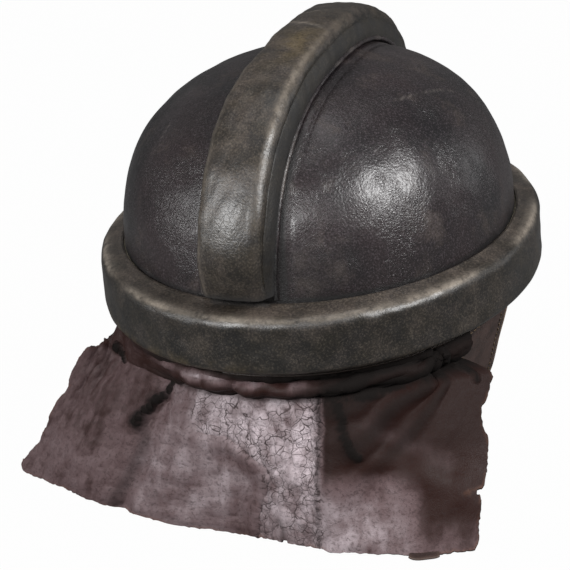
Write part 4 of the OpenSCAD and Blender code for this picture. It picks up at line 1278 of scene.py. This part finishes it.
# The underside. A strip of tan leather closes the rim underneath and is stitched down along both
# of its edges. Inside it the shell of pressed fibre shows its lower edge.

tan = soft_leather("tan_leather", tone(96, 68, 46), tone(128, 94, 66), rough=0.5)
a = np.radians(np.linspace(0, 360, 320, endpoint=False))
binding_z = -3.45
outer_edge, inner_edge = (beside(a, half_sizes, d, binding_z)
                          for half_sizes, d in ((rim_half, -6.4), (dome_half, -8.0)))
k = np.linspace(0, 1, 12)[:, None]
grid = outer_edge + (inner_edge - outer_edge) * k[..., None]
grid[..., 2] += 0.12 * ripple(grid, 25, 71) + 0.1
# Painted shade darkens the binding's inner edge, next to the shell.
binding = leather("rim_binding_leather", grid[::-1, ::-1], 1.1, tan,
                  ("root", "tan_leather", "rim_binding"), closed=True,
                  worn=0.6 * bell(k, 0.1), deep=0.95 * bell(k - 1, 0.12))
loop = np.concatenate([a, a[:1]])
for number, d in ((1, -8.6), (2, -18.0)):
    row = beside(loop, rim_half, d, binding_z)
    downwards = np.tile((0.0, 0.0, -1.0), (len(row), 1))
    fit(stitches(f"rim_binding_stitches_{number}", row, downwards, linen), "root", "cotton")


def pressed_fibre():
    """The shell: pressed and varnished layers of fibre."""
    f = Finish(bpy.data.materials.new("pressed_fibre"))
    at = f.place()
    colour = f.blend(f.noise(f.warped(at, 8, 6), 4, 6, 0.7), tone(74, 54, 38), tone(112, 86, 60))
    return f.surface(colour, 0.6, 0.3 * f.noise(at, 2, 4), specular=0.3)


coat("shell", pressed_fibre())


# The liner. Pale felt is glued inside the shell. Felt pads at brow, nape and temples hold the
# sweatband, and a pad fills the crown.

pale_felt = felt("pale_felt", tone(168, 158, 134), tone(198, 188, 164))
felt_inset = 10.9
lining_half = np.array([95.0, 95.0 * dome_k])
band_half = np.array([81.8, 81.8 * 1.2])  # 160 by 192 mm inside the leather
grid = bowl_grid(felt_inset, 3, 60, 160, 0, 360 * 159 / 160)
points, faces = welded_tube(grid)
points, faces, source = thick(points, faces, 2.7 + 0.15 * ripple(points, 16, 81))
lining = make_piece("felt_lining_cloth", points, faces, pale_felt)
fit(lining, "root", "pale_felt", "felt_lining")


def pad_between(middle, spread, seed):
    """Closed pad between the lining and the sweatband: its section is a rounded box between two
    ellipses, which shrinks to nothing at both ends of its arc."""
    w = np.linspace(-1, 1, 44)
    b = np.linspace(0, 2 * np.pi, 28, endpoint=False)
    a = np.radians(middle + spread * w)[:, None]
    ends = (1 - np.abs(w) ** 10)[:, None] ** 0.5
    c, s = np.cos(b)[None], np.sin(b)[None]
    across = 0.5 + 0.5 * np.sign(c) * np.abs(c) ** 0.45 * ends
    height = 21 + 16.6 * np.sign(s) * np.abs(s) ** 0.45 * ends
    inner, outer = beside(a, band_half, 0.5, height), beside(a, lining_half, -0.5, height)
    grid = inner + (outer - inner) * across[..., None]
    points, faces = welded_tube(grid)
    return swollen(points, faces, 0.12 * ripple(points, 12, seed)), faces


for name, node, middle, spread, seed in (
        ("brow", "brow_pad", -90, 37.5, 82), ("nape", "nape_pad", 90, 37.5, 83),
        ("temple_left", "temple_pad_left", 0, 43.5, 84),
        ("temple_right", "temple_pad_right", 180, 43.5, 85)):
    points, faces = pad_between(middle, spread, seed)
    pad = make_piece(f"{name}_felt", points, [f[:, ::-1] for f in faces], grey_felt)
    fit(pad, "root", "grey_felt", node)

lo, hi = (1000 * np.array(p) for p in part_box("crown_pad"))
b = np.linspace(-np.pi / 2, np.pi / 2, 30)[:, None]
a = np.linspace(0, 2 * np.pi, 72, endpoint=False)[None]
r = 29.8 * np.abs(np.cos(b)) ** 0.35
z = (lo[2] + hi[2]) / 2 + 3.9 * np.sign(np.sin(b)) * np.abs(np.sin(b)) ** 0.5
grid = np.stack(np.broadcast_arrays(r * np.cos(a), r * np.sin(a), z), -1)
points, faces = welded_tube(grid)
crown = make_piece("crown_felt", points, faces, grey_felt)
fit(crown, "root", "grey_felt", "crown_pad")


# The sweatband and the leaves. A band of tan leather goes round the head, and six leaves sewn to
# its top are drawn together at the crown by a lace through their turned tips.

a = np.linspace(0, 2 * np.pi, 300, endpoint=False)[None]
band_low, band_high = 2.2, 41.9
z = np.linspace(band_low, band_high, 26)[:, None]
edge_band = bell(z - band_low, 1.5) + bell(z - band_high, 1.5)
grid = beside(a, band_half, -0.1 - 0.25 * np.sin(np.pi * (z - 2) / 40), z)
# Painted shade darkens a thin line a little below the band's top.
sweat = leather("sweatband_leather", grid, 1.5, tan, ("root", "tan_leather", "sweatband"),
                closed=True, worn=0.5 * edge_band, deep=0.25 * bell(z - 36, 1.2))
row = beside(np.append(a, 0), band_half, -1.9, 4.6)
fit(stitches("sweatband_stitches", row, -row * (1, 1, 0), linen), "root", "tan_leather")

lace_r = 1.37
leaf_z, leaf_top = 42.3, 96.9
leaf_end = np.radians(74)


def leaf_line(t, inset):
    """Side view of a leaf: radius and height at angle t up a full curve from the sweatband."""
    return np.stack([(band_half[0] - inset) * np.clip(np.cos(t), 0, 1) ** (2 / dome_power),
                     leaf_z + (leaf_top - leaf_z - inset) * np.sin(t) ** (2 / dome_power)], -1)


face_line = leaf_line(np.linspace(0, leaf_end, 60), 0.05)
knot = leaf_line(leaf_end, 0.75)
tip_turn = np.radians(np.linspace(60, -250, 26))
curl = knot + (lace_r + 1.4) * np.stack([np.cos(tip_turn), np.sin(tip_turn)], -1)
line = np.concatenate([face_line[:-4], curl[3:]])
share = np.linspace(0, 1, len(line))[:, None]
w = np.linspace(-1, 1, 30)[None]
slack = -0.54 * np.sin(np.pi * np.clip(share * 1.3, 0, 1)) * (1 - w * w)
for number in range(6):
    a = np.radians(60 * number + 30 + 23.4 * w)
    r, z = line[:, :1], line[:, 1:]
    x, y = (r + slack) * np.cos(a), (1.2 * r + slack) * np.sin(a)
    grid = np.stack(np.broadcast_arrays(x, y, z), -1)
    leaf = leather(f"liner_leather_{number + 1}", grid, 1.2, tan,
                   ("root", "tan_leather", f"liner_leaf_{number + 1}"),
                   worn=0.7 * bell(np.abs(w) - 1, 0.06), deep=0)


def twisted_cotton():
    """The crown lace: cotton cord of three twisted strands."""
    f = Finish(bpy.data.materials.new("twisted_cotton"))
    at = f.place()
    colour = f.blend(f.noise(at, 3, 4), tone(176, 162, 136), tone(206, 194, 168))
    return f.surface(colour, 0.85, 0.1 * f.noise(at, 0.6, 3), specular=0.15)


a = np.linspace(0, 2 * np.pi, 721)[:-1]
c = np.linspace(0, 2 * np.pi, 18, endpoint=False)
strands = 1.3 * (0.86 + 0.14 * np.abs(np.cos(1.5 * (c[None] - 50 * a[:, None]))))
ring = np.stack([knot[0] + strands * np.cos(c), knot[1] + strands * np.sin(c)], -1)
grid = np.stack([ring[..., 0] * np.cos(a)[:, None], 1.2 * ring[..., 0] * np.sin(a)[:, None],
                 ring[..., 1]], -1)
cord = grid.reshape(-1, 3)
b = np.linspace(-np.pi / 2, np.pi / 2, 16)[:, None]
c = np.linspace(0, 2 * np.pi, 24, endpoint=False)[None]
r = 2.1 + 0.15 * np.cos(3 * c + 5 * b)
ball = np.stack(np.broadcast_arrays(knot[0] + r * np.cos(b) * np.cos(c), r * np.cos(b) * np.sin(c),
                                    knot[1] + r * np.sin(b)), -1)
ball_points, ball_faces = welded_tube(ball)
lace = make_piece("crown_lace_cord", np.concatenate([cord, ball_points]),
                  [grid_quads(*grid.shape[:2], True, True), *(f + len(cord) for f in ball_faces)],
                  twisted_cotton())
fit(lace, "root", "cotton", "crown_lace")
